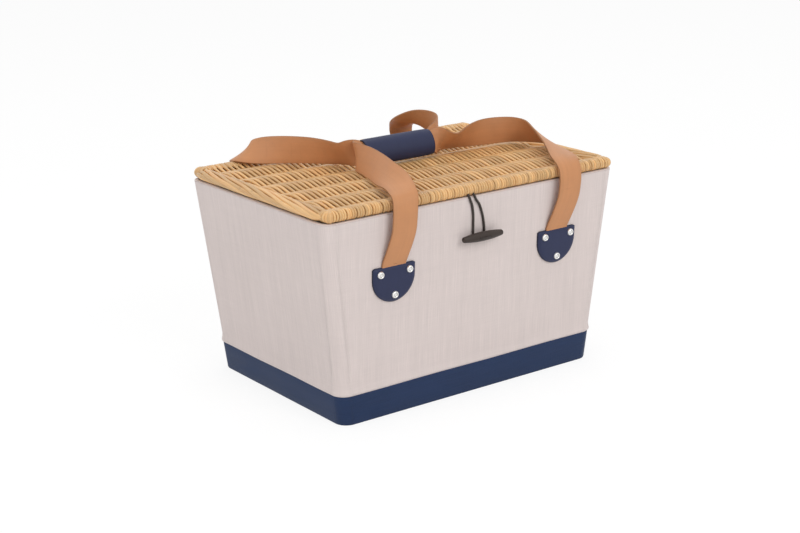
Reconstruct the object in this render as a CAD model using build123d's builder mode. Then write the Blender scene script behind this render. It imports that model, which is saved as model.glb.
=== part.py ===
"""Picnic basket: a tapered canvas tub with a woven willow lid and two leather carrying straps.

Millimetres, +Z up, +X along the basket's length. The front, with the toggle, faces -Y.
The origin is at the middle of the underside.
"""

import os
from math import atan2, cos, radians, sin

from build123d import *

# ---- tub, driving sizes ----
top_length = 460.0
top_width = 310.0
base_length = 402.0
base_width = 282.0
body_height = 260.0
corner_radius = 16.0
canvas_thickness = 1.2
board_thickness = 3.0
lining_thickness = 1.0
base_sheet_thickness = 1.5
base_board_thickness = 4.0
band_height = 39.0
band_thickness = 0.8
binding_thickness = 1.2

# ---- lid ----
lid_thickness = 15.0
lid_overhang = 1.0
border_width = 23.0
border_rod_radius = 3.5
border_round = 5.0
stake_radius = 3.0
stake_count = 5
stake_pitch = 48.5
stake_end = 10.0

# ---- hinge tabs ----
tab_width = 25.0
tab_thickness = 2.0
tab_spacing = 170.0
tab_length = 40.0
tab_rivet_spacing = 12.0
tab_rivet_up = 12.0

# ---- straps and their patches ----
strap_width = 36.0
strap_thickness = 2.6
patch_pitch = 260.0
patch_margin = 13.5
patch_height = 46.0
patch_leather = 1.8
patch_edge = 1.2
patch_drop = 65.0
tail_margin = 4.0
strap_outset = 10.0
leg_top_drop = 10.0
leg_lift = 0.9

# ---- rivets ----
rivet_radius = 1.8
rivet_head_radius = 4.5
rivet_head_height = 1.6
rivet_dome = 1.12
rivet_cap_radius = 4.0
rivet_cap_height = 1.0
upper_rivet_out = 3.5
upper_rivet_drop = 8.0
lower_rivet_drop = 36.5

# ---- grip ----
grip_length = 108.0
grip_height = 35.0
grip_depth = 22.0
grip_wall = 2.2
grip_lean = 25.0
grip_back = 13.0
grip_lift = 17.2
squeezed_width = 26.5
squeezed_thickness = 3.5

# ---- toggle and its loop ----
toggle_length = 62.0
toggle_radius = 6.0
toggle_end_radius = 3.4
toggle_end_round = 1.7
toggle_drop = 50.0
toggle_hole_pitch = 15.0
toggle_hole_radius = 1.3
toggle_lift = 0.4
thread_radius = 1.1
post_radius = 1.6
knot_radius = 4.0
loop_radius = 1.5
loop_width = 18.0
loop_top_width = 8.0
loop_top_offset = -7.0
loop_full_width_drop = 40.0
loop_mouth = 1.3
loop_mouth_rise = 0.3
loop_clear = 1.0
loop_bottom_bend = 8.1
loop_side_bend = 20.0
loop_top_bend = 4.0

# ---- clearances ----
seam = 0.05
soft_gap = 0.3
moving_gap = 0.3
running_gap = 0.05
hole_gap = 0.1

# ---- what follows from them ----
wall = canvas_thickness + board_thickness + lining_thickness
canvas_low = base_sheet_thickness + seam
canvas_high = body_height - binding_thickness - seam
floor_top = canvas_low + base_board_thickness + seam
slope = atan2((top_width - base_width) / 2, body_height)
side_slope = atan2((top_length - base_length) / 2, body_height)
lid_low = body_height + moving_gap
lid_top = lid_low + lid_thickness
rod_height = lid_low + lid_thickness / 2
lid_half_length = top_length / 2 + lid_overhang
lid_half_width = top_width / 2 + lid_overhang
rod_offset = lid_half_width - lid_thickness / 2
weave_half_length = lid_half_length - border_width - seam
tab_bore_radius = border_rod_radius + running_gap
tab_ring_radius = tab_bore_radius + tab_thickness
strap_reach = lid_half_width + strap_outset
leg_top = body_height - leg_top_drop
patch_width = strap_width + 2 * patch_margin
upper_rivet_pitch = strap_width + 2 * upper_rivet_out
patch_depth = strap_thickness + soft_gap + patch_leather
grip_centre = Vector(0, grip_back, lid_top + grip_lift)
grip_up = Vector(0, sin(radians(grip_lean)), cos(radians(grip_lean)))
grip_out = Vector(0, cos(radians(grip_lean)), -sin(radians(grip_lean)))
toggle_stand = 2 * loop_radius + 2 * soft_gap + toggle_radius + toggle_lift
loop_offset = loop_radius + soft_gap


def half_length(height):
    """Half the tub's length over the canvas at a height."""
    return (base_length + (top_length - base_length) * height / body_height) / 2


def half_width(height):
    """Half the tub's width over the canvas at a height."""
    return (base_width + (top_width - base_width) * height / body_height) / 2


def wall_plane(turn, across, height, out=0.0):
    """A plane on the front wall, or where turn is -1 on the back wall, with x along it and z outwards."""
    outward = Vector(0, -turn * cos(slope), -sin(slope))
    spot = Vector(turn * across, -turn * half_width(height), height)
    return Plane(origin=spot + outward * out, x_dir=(turn, 0, 0), z_dir=outward)


def tapered_block(low, high, inset, mode=Mode.ADD):
    """A block between two heights that keeps one distance inside the canvas's outer faces."""
    spare = 2 * corner_radius
    with BuildPart(mode=Mode.PRIVATE) as block:
        with Locations((0, 0, low - spare)):
            base = (Align.CENTER, Align.CENTER, Align.MIN)
            Box(2 * top_length, 2 * top_width, high - low + 2 * spare, align=base)
        for turn in (1, -1):
            side = Vector(-turn * cos(side_slope), 0, -sin(side_slope))
            side_face = Plane(origin=(-turn * base_length / 2, 0, 0), z_dir=side)
            split(bisect_by=wall_plane(turn, 0, 0, -inset), keep=Keep.BOTTOM)
            split(bisect_by=side_face.offset(-inset), keep=Keep.BOTTOM)
        corners = block.edges().filter_by(lambda edge: abs((edge @ 0).Z - (edge @ 1).Z) > spare)
        fillet(corners, corner_radius - inset)
        split(bisect_by=Plane.XY.offset(low), keep=Keep.TOP)
        split(bisect_by=Plane.XY.offset(high), keep=Keep.BOTTOM)
    add(block.part, mode=mode)


def tapered_shell(low, high, inset, thickness):
    """A wall between two heights, open at its top and bottom."""
    tapered_block(low, high, inset)
    tapered_block(low - 1, high + 1, inset + thickness, mode=Mode.SUBTRACT)


def patch_planes():
    """The four patches' names, with a plane at the middle of each one's top edge."""
    height = body_height - patch_drop
    names = {("front", "left"): (1, -1), ("front", "right"): (1, 1)}
    names |= {("back", "left"): (-1, 1), ("back", "right"): (-1, -1)}
    return {
        f"{face}_{hand}": wall_plane(turn, side * patch_pitch / 2, height)
        for (face, hand), (turn, side) in names.items()
    }


patches = patch_planes()
rivet_spots = [
    (-upper_rivet_pitch / 2, -upper_rivet_drop),
    (upper_rivet_pitch / 2, -upper_rivet_drop),
    (0, -lower_rivet_drop),
]
toggle_plane = wall_plane(1, 0, body_height - toggle_drop)
tab_rivet_height = body_height - tab_length + tab_rivet_up
tab_sides = {"left": -1, "right": 1}
tab_rivet_planes = [
    wall_plane(-1, -side * tab_spacing / 2 + across, tab_rivet_height)
    for side in tab_sides.values()
    for across in (-tab_rivet_spacing / 2, tab_rivet_spacing / 2)
]


def drill(plane, spots, radius, depth):
    """Holes through a wall, square to it."""
    for across, up in spots:
        with BuildSketch(plane.offset(-depth / 2)) as hole:
            with Locations((across, up)):
                Circle(radius)
        extrude(hole.sketch, amount=depth, mode=Mode.SUBTRACT)


def drill_wall():
    """Every rivet's and thread's hole through the tub's walls."""
    depth = 4 * wall
    for plane in patches.values():
        drill(plane, rivet_spots, rivet_radius + hole_gap, depth)
    for plane in tab_rivet_planes:
        drill(plane, [(0, 0)], rivet_radius + hole_gap, depth)
    drill(toggle_plane, [(0, 0)], post_radius + hole_gap, depth)


def finish(piece, name):
    """Label a piece and write it to its own file."""
    piece.part.label = name
    export_step(piece.part, f"parts/{name}.step")


os.makedirs("parts", exist_ok=True)

# ---- the tub's base ----
with BuildPart() as base_sheet:
    tapered_block(0, base_sheet_thickness, seam)
finish(base_sheet, "base_sheet")

with BuildPart() as base_board:
    inset = canvas_thickness + board_thickness + 2 * seam
    tapered_block(canvas_low, canvas_low + base_board_thickness, inset)
finish(base_board, "base_board")

with BuildPart() as base_band:
    tapered_shell(soft_gap, band_height, -band_thickness - seam, band_thickness)
finish(base_band, "base_band")

# ---- the tub's walls, from outside in ----
with BuildPart() as canvas_cover:
    tapered_shell(canvas_low, canvas_high, 0, canvas_thickness)
    drill_wall()
finish(canvas_cover, "canvas_cover")


def side_wedge(face, height):
    """The outline that one wall takes at a height, cut at 45 degrees through the corners."""
    along_x = face[1] != 0
    along = (half_length(height) if along_x else half_width(height)) - corner_radius
    outward = (half_width(height) if along_x else half_length(height)) - corner_radius
    reach = 2 * corner_radius
    out = Vector(*face)
    side = Vector(-face[1], face[0])
    corners = [
        side * along + out * outward,
        side * (along + reach) + out * (outward + reach),
        side * -(along + reach) + out * (outward + reach),
        side * -along + out * outward,
    ]
    with BuildSketch(Plane.XY.offset(height)) as outline:
        with BuildLine():
            Polyline(*[(corner.X, corner.Y) for corner in corners], close=True)
        make_face()
    return outline.sketch


walls = {"front": (0, -1), "back": (0, 1), "left": (-1, 0), "right": (1, 0)}
for face_name, face in walls.items():
    with BuildPart() as board:
        low, high = canvas_low, canvas_high
        tapered_shell(low, high, canvas_thickness + seam, board_thickness - seam)
        wedge = [side_wedge(face, height) for height in (low - 1, high + 1)]
        loft(sections=wedge, mode=Mode.INTERSECT)
        drill_wall()
    finish(board, f"{face_name}_board")

with BuildPart() as lining:
    inset = canvas_thickness + board_thickness + seam
    tapered_block(floor_top, canvas_high, inset)
    inner_low = floor_top + lining_thickness
    tapered_block(inner_low, canvas_high + 1, inset + lining_thickness, mode=Mode.SUBTRACT)
    drill_wall()
finish(lining, "lining")

with BuildPart() as rim_binding:
    tapered_shell(canvas_high + seam, body_height, 0, wall)
finish(rim_binding, "rim_binding")


# ---- straps ----
def patch_outline(inset, above=0.0):
    """The patch's outline drawn inwards by a margin, from its round end to that far above its top edge."""
    radius = patch_width / 2
    straight = patch_height - radius
    sides = patch_width - 2 * inset
    with Locations((0, -straight)):
        Circle(radius - inset)
    with Locations((0, above)):
        Rectangle(sides, straight + above, align=(Align.CENTER, Align.MAX))
        Rectangle(sides, patch_height + above, align=(Align.CENTER, Align.MAX), mode=Mode.INTERSECT)


def tail_outline(plane, clearance, above=0.0):
    """The strap's end under its patch, as wide as the strap and rounded inside the patch's edge."""
    with BuildSketch(plane) as outline:
        patch_outline(tail_margin - clearance, above)
        with Locations((0, above)):
            long = patch_height + above
            width = strap_width + 2 * clearance
            Rectangle(width, long, align=(Align.CENTER, Align.MAX), mode=Mode.INTERSECT)
    return outline.sketch


def ribbon_section(spot, across, along, width, thickness):
    """The strap's section at a spot of its route, square to the way it runs."""
    along = along.normalized()
    across = (across - along * across.dot(along)).normalized()
    with BuildSketch(Plane(origin=spot, x_dir=across, z_dir=along)) as section:
        Rectangle(width, thickness)
    return section.sketch


def ribbon(stations, first=None, last=None):
    """A flat strap through its stations: a spot, the way across it, its width and its thickness.

    The strap runs from each station to the next. Its ends may be given the way they run.
    """
    sections = []
    for number, (spot, across, width, thickness) in enumerate(stations):
        before = stations[max(number - 1, 0)][0]
        after = stations[min(number + 1, len(stations) - 1)][0]
        along = after - before
        if number == 0 and first:
            along = first
        if number == len(stations) - 1 and last:
            along = last
        sections.append(ribbon_section(spot, across, along, width, thickness))
    for start, end in zip(sections, sections[1:]):
        loft(sections=[start, end], ruled=True)


def full(x, y, above, across):
    """A station as shares of the patches' half pitch, the strap's reach and, above the lid, its half width."""
    spot = Vector(x * patch_pitch / 2, y * strap_reach, lid_top + above * strap_width / 2)
    return spot, Vector(*across), strap_width, strap_thickness


def turned(station):
    """The same station on the other side of the basket, turned half round the upright axis."""
    spot, across, width, thickness = station
    return (
        Vector(-spot.X, -spot.Y, spot.Z),
        Vector(-across.X, -across.Y, across.Z),
        width,
        thickness,
    )


def in_grip(end, layer):
    """Where a strap enters the grip: squeezed, leaning with the grip, on its front or back side."""
    offset = layer * (squeezed_thickness / 2 + soft_gap)
    spot = grip_centre + grip_out * offset + Vector(end * grip_length / 2, 0, 0)
    return spot, grip_up, squeezed_width, squeezed_thickness


# Each leg rises from its patch, bows off the wall and ends in front of the lid's edge.
# A leg's stations: how far it has risen from patch to top, its share of the outset, its shift along X.
leg_stations = {
    "left": [(0.4, 0.45, 4.0), (0.75, 0.8, 8.0), (1.0, 0.96, 8.5)],
    "right": [(0.4, 0.45, 5.0), (0.75, 0.8, 10.0), (1.0, 0.96, 11.0)],
}


def leg_route(hand):
    """The front leg's stations on one hand, from the patch's top edge upwards."""
    side = tab_sides[hand]
    low = body_height - patch_drop
    start = wall_plane(1, side * patch_pitch / 2, low, soft_gap / 2 + strap_thickness / 2)
    across = Vector(1, 0, 0)
    stations = []
    for up, out in ((0.0, 0.0), (4.0, leg_lift)):
        spot = start.from_local_coords((0, up, out))
        stations.append((spot, across, strap_width, strap_thickness))
    for rise, share, shift in leg_stations[hand]:
        height = low + (leg_top - low) * rise
        clear = half_width(height) + soft_gap + strap_thickness / 2
        reach = clear + (strap_reach - clear) * share
        spot = Vector(side * patch_pitch / 2 + shift, -reach, height)
        stations.append((spot, across, strap_width, strap_thickness))
    return stations


leg_routes = {}
for hand, opposite in (("left", "right"), ("right", "left")):
    leg_routes[f"front_{hand}"] = leg_route(hand)
    leg_routes[f"back_{opposite}"] = [turned(station) for station in leg_route(hand)]

for name, plane in patches.items():
    with BuildPart() as strap_leg:
        ribbon(leg_routes[name], last=Vector(0, 0, 1))
        extrude(tail_outline(plane.offset(soft_gap / 2), 0), amount=strap_thickness)
        drill(plane, rivet_spots, rivet_radius + hole_gap, 4 * patch_depth)
    finish(strap_leg, f"{name}_strap_leg")

# The loop's stations, from the top of one leg over the lid to the grip, or from the grip outwards.
front_left_rise = [
    full(-0.93, -1.0, -0.667, (1, 0, 0)),
    full(-0.91, -0.975, 0.111, (1, 0, 0.1)),
    full(-0.88, -0.9, 0.556, (1, 0, 0.2)),
    full(-0.83, -0.77, 0.861, (1, 0, 0.5)),
    full(-0.78, -0.6, 0.972, (1, 0, 1)),
    full(-0.69, -0.39, 1.011, (0.7, 0, 1)),
    full(-0.62, -0.19, 1.022, (0.45, 0, 1)),
    full(-0.6, -0.06, 1.022, (0.25, 0.1, 1)),
    full(-0.56, 0.015, 1.017, (0, 0.3, 1)),
    full(-0.49, 0.06, 1.000, (0, 0.4, 1)),
]
front_right_fall = [
    full(0.51, 0.075, 1.000, (0, 0.35, 1)),
    full(0.65, 0.085, 1.022, (0, 0.2, 1)),
    full(0.85, 0.066, 1.033, (0, 0, 1)),
    full(1.08, 0.054, 1.044, (0, 0, 1)),
    full(1.27, 0.03, 1.044, (-0.05, 0, 1)),
    full(1.42, -0.036, 1.022, (-0.2, -0.1, 1)),
    full(1.52, -0.15, 0.944, (-0.5, -0.1, 1)),
    full(1.52, -0.29, 0.861, (-1, -0.1, 0.9)),
    full(1.46, -0.45, 0.722, (-1, 0, 0.55)),
    full(1.35, -0.63, 0.611, (-1, 0, 0.3)),
    full(1.23, -0.78, 0.556, (-1, 0, 0.12)),
    full(1.14, -0.9, 0.417, (-1, 0, 0)),
    full(1.1, -0.975, 0.000, (-1, 0, 0)),
    full(1.09, -1.0, -0.667, (-1, 0, 0)),
]
back_right_rise = [
    full(0.93, 1.0, -0.667, (-1, 0, 0)),
    full(0.915, 0.975, 0.111, (-1, 0, 0.1)),
    full(0.9, 0.9, 0.611, (-1, 0, 0.2)),
    full(0.87, 0.77, 1.028, (-1, 0, 0.5)),
    full(0.82, 0.62, 1.333, (-0.9, 0, 1)),
    full(0.75, 0.48, 1.556, (-0.5, 0, 1)),
    full(0.7, 0.36, 1.611, (-0.2, 0, 1)),
    full(0.64, 0.26, 1.528, (0, 0.1, 1)),
    full(0.57, 0.17, 1.306, (0, 0.2, 1)),
    full(0.5, 0.115, 1.111, (0, 0.35, 1)),
]
back_left_fall = [
    full(-0.51, 0.125, 1.000, (0, 0.3, 1)),
    full(-0.61, 0.25, 1.022, (0, 0.1, 1)),
    full(-0.73, 0.39, 1.028, (0, 0, 1)),
    full(-0.87, 0.52, 1.028, (0, 0, 1)),
    full(-1.02, 0.65, 1.000, (0.15, 0, 1)),
    full(-1.15, 0.765, 0.861, (0.6, 0.3, 1)),
    full(-1.2, 0.845, 0.667, (1, 0.3, 0.6)),
    full(-1.17, 0.91, 0.444, (1, 0.1, 0.15)),
    full(-1.12, 0.975, 0.000, (1, 0, 0)),
    full(-1.09, 1.0, -0.667, (1, 0, 0)),
]


def meet(leg_name):
    """The loop's end, a soft gap above the leg that it continues."""
    spot, across, width, thickness = leg_routes[leg_name][-1]
    return spot + Vector(0, 0, soft_gap), across, width, thickness


def reversed_across(station):
    """The same station with its other edge named first, for a strap that runs down."""
    spot, across, width, thickness = station
    return spot, -across, width, thickness


loops = {
    "front_strap": (
        [meet("front_left"), *front_left_rise, in_grip(-1, -1)],
        [in_grip(1, -1), *front_right_fall, reversed_across(meet("front_right"))],
    ),
    "back_strap": (
        [meet("back_right"), *back_right_rise, in_grip(1, 1)],
        [in_grip(-1, 1), *back_left_fall, reversed_across(meet("back_left"))],
    ),
}
for name, (rise, fall) in loops.items():
    with BuildPart() as strap_loop:
        ribbon(rise + fall, first=Vector(0, 0, 1), last=Vector(0, 0, -1))
    finish(strap_loop, name)

# ---- patches and rivets ----
for name, plane in patches.items():
    with BuildPart() as patch:
        with BuildSketch(plane.offset(seam)):
            patch_outline(0)
        extrude(amount=patch_depth)
        outer_face = patch.faces().sort_by(Axis(plane.origin, plane.z_dir))[-1]
        chamfer(outer_face.edges(), patch_edge)
        pocket = tail_outline(plane, soft_gap, patch_edge)
        extrude(pocket, amount=strap_thickness + soft_gap, mode=Mode.SUBTRACT)
        drill(plane, rivet_spots, rivet_radius + hole_gap, 4 * patch_depth)
    finish(patch, f"{name}_patch")


def rivet(outside, inside):
    """A rivet through the wall, its domed head that far outside the canvas and its flat cap inside."""
    foot = (Align.CENTER, Align.CENTER, Align.MIN)
    with BuildPart(mode=Mode.PRIVATE) as fastener:
        with Locations((0, 0, -inside)):
            Cylinder(rivet_radius, outside + inside, align=foot)
        with Locations((0, 0, outside)):
            Cylinder(rivet_head_radius, rivet_head_height, align=foot)
        crown = fastener.faces().sort_by(Axis.Z)[-1]
        fillet(crown.edges(), rivet_dome)
        with Locations((0, 0, -inside - rivet_cap_height)):
            Cylinder(rivet_cap_radius, rivet_cap_height, align=foot)
    return fastener.part


inside_wall = wall + 2 * seam
patch_rivet = rivet(patch_depth + 2 * seam, inside_wall)
for name, plane in patches.items():
    with BuildPart() as patch_rivets:
        with Locations(plane):
            with Locations(*[(across, up, 0) for across, up in rivet_spots]):
                add(patch_rivet)
    finish(patch_rivets, f"{name}_rivets")

# ---- hinge tabs, sewn round the lid's bare back rod and riveted inside the tub ----
for hand, side in tab_sides.items():
    middle = side * tab_spacing / 2
    with BuildPart() as hinge_tab:
        with BuildSketch(Plane.YZ.offset(middle - tab_width / 2)):
            with Locations((rod_offset, rod_height)):
                Circle(tab_ring_radius)
        extrude(amount=tab_width)
        foot = wall_plane(-1, -middle, body_height - tab_length, -inside_wall)
        tongue = rod_height - tab_bore_radius - body_height + tab_length
        with BuildSketch(foot):
            Rectangle(tab_width, tongue, align=(Align.CENTER, Align.MIN))
        extrude(amount=-tab_thickness)
        with BuildSketch(Plane.YZ.offset(middle - tab_width / 2 - 1)):
            with Locations((rod_offset, rod_height)):
                Circle(tab_bore_radius)
        extrude(amount=tab_width + 2, mode=Mode.SUBTRACT)
        for plane in tab_rivet_planes:
            drill(plane, [(0, 0)], rivet_radius + hole_gap, 4 * wall)
    finish(hinge_tab, f"{hand}_hinge_tab")

hinge_rivet = rivet(seam, inside_wall + tab_thickness + seam)
with BuildPart() as hinge_tab_rivets:
    for plane in tab_rivet_planes:
        with Locations(plane):
            add(hinge_rivet)
finish(hinge_tab_rivets, "hinge_tab_rivets")


# ---- the closing loop's route, from a hole in the lid's front edge round the toggle's thread ----
def on_front(across, height, out):
    """A spot in front of the front wall."""
    return wall_plane(1, across, height, out).origin


loop_low = body_height - toggle_drop - post_radius - soft_gap - loop_radius
mouth_height = rod_height - border_rod_radius + loop_mouth_rise
loop_start = Vector(0, -rod_offset - border_rod_radius - loop_mouth, mouth_height)
loop_exit = Vector(0, -lid_half_width - loop_radius - loop_clear, lid_low - loop_clear)
half_top = loop_top_width / 2
half_loop = loop_width / 2
loop_points = [
    loop_start + Vector(loop_top_offset - half_top, 0, 0),
    loop_exit + Vector(loop_top_offset - half_top, 0, 0),
    on_front(-half_loop, body_height - loop_full_width_drop, loop_offset),
    on_front(-half_loop, loop_low, loop_offset),
    on_front(half_loop, loop_low, loop_offset),
    on_front(half_loop, body_height - loop_full_width_drop, loop_offset),
    loop_exit + Vector(loop_top_offset + half_top, 0, 0),
    loop_start + Vector(loop_top_offset + half_top, 0, 0),
]
half_bends = [loop_top_bend, loop_side_bend, loop_bottom_bend]
loop_bends = half_bends + half_bends[::-1]

# ---- lid ----
def bore_along_x(offset, height, radius):
    """A bore through a piece along the lid's length."""
    with Locations((0, offset, height)):
        Cylinder(radius, 3 * top_length, rotation=(0, 90, 0), mode=Mode.SUBTRACT)


stake_offsets = [(number - (stake_count - 1) / 2) * stake_pitch for number in range(stake_count)]

with BuildPart() as willow_weave:
    with BuildSketch(Plane.YZ.offset(-weave_half_length)):
        with Locations((0, rod_height)):
            SlotOverall(2 * lid_half_width, lid_thickness)
    extrude(amount=2 * weave_half_length)
    for offset in (-rod_offset, rod_offset):
        bore_along_x(offset, rod_height, border_rod_radius + hole_gap)
    for offset in stake_offsets:
        bore_along_x(offset, rod_height, stake_radius + hole_gap)
    for strand in (loop_points[0], loop_points[-1]):
        mouth = Plane(origin=strand, z_dir=loop_exit - loop_start)
        with BuildSketch(mouth.offset(-loop_radius)) as hole:
            Circle(loop_radius + soft_gap)
        extrude(hole.sketch, amount=4 * loop_radius + lid_thickness / 2, mode=Mode.SUBTRACT)
    notch_depth = lid_half_width - rod_offset + tab_ring_radius + 2 * moving_gap
    with Locations(*[(side * tab_spacing / 2, lid_half_width, rod_height) for side in tab_sides.values()]):
        Box(
            tab_width + 4 * moving_gap,
            2 * notch_depth,
            2 * lid_thickness,
            mode=Mode.SUBTRACT,
        )
finish(willow_weave, "willow_weave")

for face_name, turn in (("front", -1), ("back", 1)):
    with BuildPart() as border_rod:
        with Locations((0, turn * rod_offset, rod_height)):
            Cylinder(border_rod_radius, 2 * (lid_half_length - soft_gap), rotation=(0, 90, 0))
    finish(border_rod, f"{face_name}_border_rod")

for number, offset in enumerate(stake_offsets, start=1):
    with BuildPart() as stake:
        with Locations((0, offset, rod_height)):
            Cylinder(stake_radius, 2 * (weave_half_length + stake_end), rotation=(0, 90, 0))
    finish(stake, f"stake_{number}")

for hand, side in tab_sides.items():
    with BuildPart() as side_border:
        inner_spot = (side * (lid_half_length - border_width), 0, rod_height)
        inner_end = Plane(origin=inner_spot, x_dir=(0, 1, 0), z_dir=(side, 0, 0))
        with BuildSketch(inner_end):
            SlotOverall(2 * lid_half_width, lid_thickness)
        extrude(amount=border_width)
        outer_end = side_border.faces().sort_by(Axis.X)[0 if side < 0 else -1]
        fillet(outer_end.edges(), border_round)
        for offset in (-rod_offset, rod_offset):
            bore_along_x(offset, rod_height, border_rod_radius + hole_gap)
        with Locations(*[(side * weave_half_length, offset, rod_height) for offset in stake_offsets]):
            socket = 2 * (stake_end + 2 * soft_gap)
            Cylinder(stake_radius + hole_gap, socket, rotation=(0, 90, 0), mode=Mode.SUBTRACT)
    finish(side_border, f"{hand}_border")

# ---- toggle, on a thread that turns in the front wall ----
bar_plane = toggle_plane.offset(toggle_stand)
with BuildPart() as toggle_bar:
    with BuildSketch(bar_plane):
        with BuildLine():
            tip = toggle_length / 2
            ThreePointArc((-tip, toggle_end_radius), (0, toggle_radius), (tip, toggle_end_radius))
            Polyline((tip, toggle_end_radius), (tip, 0), (-tip, 0), (-tip, toggle_end_radius))
        make_face()
    revolve(axis=Axis(bar_plane.origin, bar_plane.x_dir))
    ends = toggle_bar.edges().filter_by(GeomType.CIRCLE).sort_by(Axis.X)
    fillet([ends[0], ends[-1]], toggle_end_round)
    with Locations(bar_plane):
        with Locations((-toggle_hole_pitch / 2, 0, 0), (toggle_hole_pitch / 2, 0, 0)):
            Cylinder(toggle_hole_radius, 4 * toggle_radius, mode=Mode.SUBTRACT)
        groove = toggle_hole_pitch + 2 * toggle_hole_radius
        with Locations((0, 0, -toggle_radius)):
            Box(groove, 2 * toggle_hole_radius, 4 * toggle_hole_radius, mode=Mode.SUBTRACT)
        with Locations((0, 0, -toggle_radius)):
            Cylinder(post_radius + hole_gap, 4 * toggle_hole_radius, mode=Mode.SUBTRACT)
finish(toggle_bar, "toggle_bar")

with BuildPart() as toggle_thread:
    knot_depth = wall + soft_gap + knot_radius
    bridge = toggle_stand - toggle_radius + thread_radius + hole_gap
    with Locations(toggle_plane):
        with Locations((0, 0, (bridge - knot_depth) / 2)):
            Cylinder(post_radius, bridge + knot_depth)
        with Locations((0, 0, -knot_depth)):
            Sphere(knot_radius)
        with Locations((0, 0, bridge)):
            Box(toggle_hole_pitch, 2 * thread_radius, 2 * thread_radius)
        arm_height = bridge + toggle_radius / 2
        with Locations((-toggle_hole_pitch / 2, 0, arm_height), (toggle_hole_pitch / 2, 0, arm_height)):
            Cylinder(thread_radius, toggle_radius + 2 * thread_radius)
finish(toggle_thread, "toggle_thread")


# ---- the cord loop that hangs from the lid's front edge and goes round the toggle's thread ----
with BuildPart() as closure_loop:
    with BuildLine() as loop_route:
        FilletPolyline(*loop_points, radius=loop_bends)
    with BuildSketch(Plane(origin=loop_route.line @ 0, z_dir=loop_route.line % 0)):
        Circle(loop_radius)
    sweep(path=loop_route.line)
finish(closure_loop, "closure_loop")


# ---- grip: a leather wrap with a flap behind, round both straps and their padding ----
def grip_section(inset, low, high):
    """The grip's oval drawn inwards, from one side of the grip's middle to the other."""
    Ellipse(grip_height / 2 - inset, grip_depth / 2 - inset)
    with Locations((0, (low + high) / 2)):
        Rectangle(2 * grip_height, high - low, mode=Mode.INTERSECT)


grip_plane = Plane(
    origin=grip_centre - Vector(grip_length / 2, 0, 0),
    x_dir=grip_up,
    z_dir=(1, 0, 0),
)
front_is = grip_plane.y_dir.dot(grip_out)
flap_gap = moving_gap / 2
straps_half = squeezed_thickness + soft_gap
far = grip_depth


def span(low, high):
    """A range across the grip from front to back, in the section's own direction."""
    return tuple(sorted((front_is * low, front_is * high)))


for name, extent in {"grip_wrap": (-far, -flap_gap), "grip_flap": (flap_gap, far)}.items():
    with BuildPart() as shell:
        with BuildSketch(grip_plane):
            grip_section(0, *span(*extent))
            Ellipse(grip_height / 2 - grip_wall, grip_depth / 2 - grip_wall, mode=Mode.SUBTRACT)
        extrude(amount=grip_length)
    finish(shell, name)

for name, side in {"front_padding": -1, "back_padding": 1}.items():
    with BuildPart() as padding:
        with BuildSketch(grip_plane):
            inner = side * (straps_half + soft_gap)
            grip_section(grip_wall + soft_gap, *span(*sorted((inner, side * far))))
        extrude(amount=grip_length)
    finish(padding, name)
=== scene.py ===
"""The looks of a picnic basket: a canvas tub, a woven willow lid and two leather carrying straps.

Metres, +Z up, +X along the basket's length; the front, with the toggle, faces -Y.
"""

import random
from math import atan2, cos, pi, radians, sin

import bmesh
import bpy
import numpy as np
from mathutils import Matrix, Vector


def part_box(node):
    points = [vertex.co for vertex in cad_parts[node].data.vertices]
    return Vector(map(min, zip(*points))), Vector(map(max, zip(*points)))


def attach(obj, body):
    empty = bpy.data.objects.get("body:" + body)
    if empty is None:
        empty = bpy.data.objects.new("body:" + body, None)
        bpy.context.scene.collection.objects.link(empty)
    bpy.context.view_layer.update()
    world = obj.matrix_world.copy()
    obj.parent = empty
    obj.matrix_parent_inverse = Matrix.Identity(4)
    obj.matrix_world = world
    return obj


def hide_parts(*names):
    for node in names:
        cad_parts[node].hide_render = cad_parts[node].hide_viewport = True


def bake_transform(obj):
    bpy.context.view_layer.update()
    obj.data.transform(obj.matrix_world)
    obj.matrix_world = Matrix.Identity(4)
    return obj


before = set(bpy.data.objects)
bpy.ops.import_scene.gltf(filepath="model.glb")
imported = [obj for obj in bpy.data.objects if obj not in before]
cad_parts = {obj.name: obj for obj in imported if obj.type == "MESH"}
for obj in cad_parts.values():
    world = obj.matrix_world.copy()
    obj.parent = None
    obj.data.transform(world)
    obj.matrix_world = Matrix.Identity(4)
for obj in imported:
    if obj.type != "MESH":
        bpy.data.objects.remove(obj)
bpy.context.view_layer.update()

bl_info = {
    "name": "Picnic basket",
    "version": (1, 0, 0),
    "blender": (4, 5, 0),
    "location": "3D View > Sidebar > Basket",
    "description": "Cloth, leather and willow for a picnic basket's packed frame",
    "category": "Object",
}

MM = 0.001
THREAD_PITCH = 0.8 * MM
WORLD_LIGHT = 0.62
STAKE_SQUEEZE = 0.86
TAB_ROOM = 2.4 * MM


def linear(red, green, blue):
    """A screen colour, 0 to 255, as the linear values that shaders take."""
    return tuple(((part / 255 + 0.055) / 1.055) ** 2.4 for part in (red, green, blue))


def length(name, metres, description):
    """A length that a user may change."""
    return bpy.props.FloatProperty(
        name=name, description=description, default=metres, unit="LENGTH", precision=4
    )


def colour(name, screen, description):
    """A colour that a user may change."""
    return bpy.props.FloatVectorProperty(
        name=name, description=description, default=linear(*screen), subtype="COLOR", min=0, max=1
    )


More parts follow.
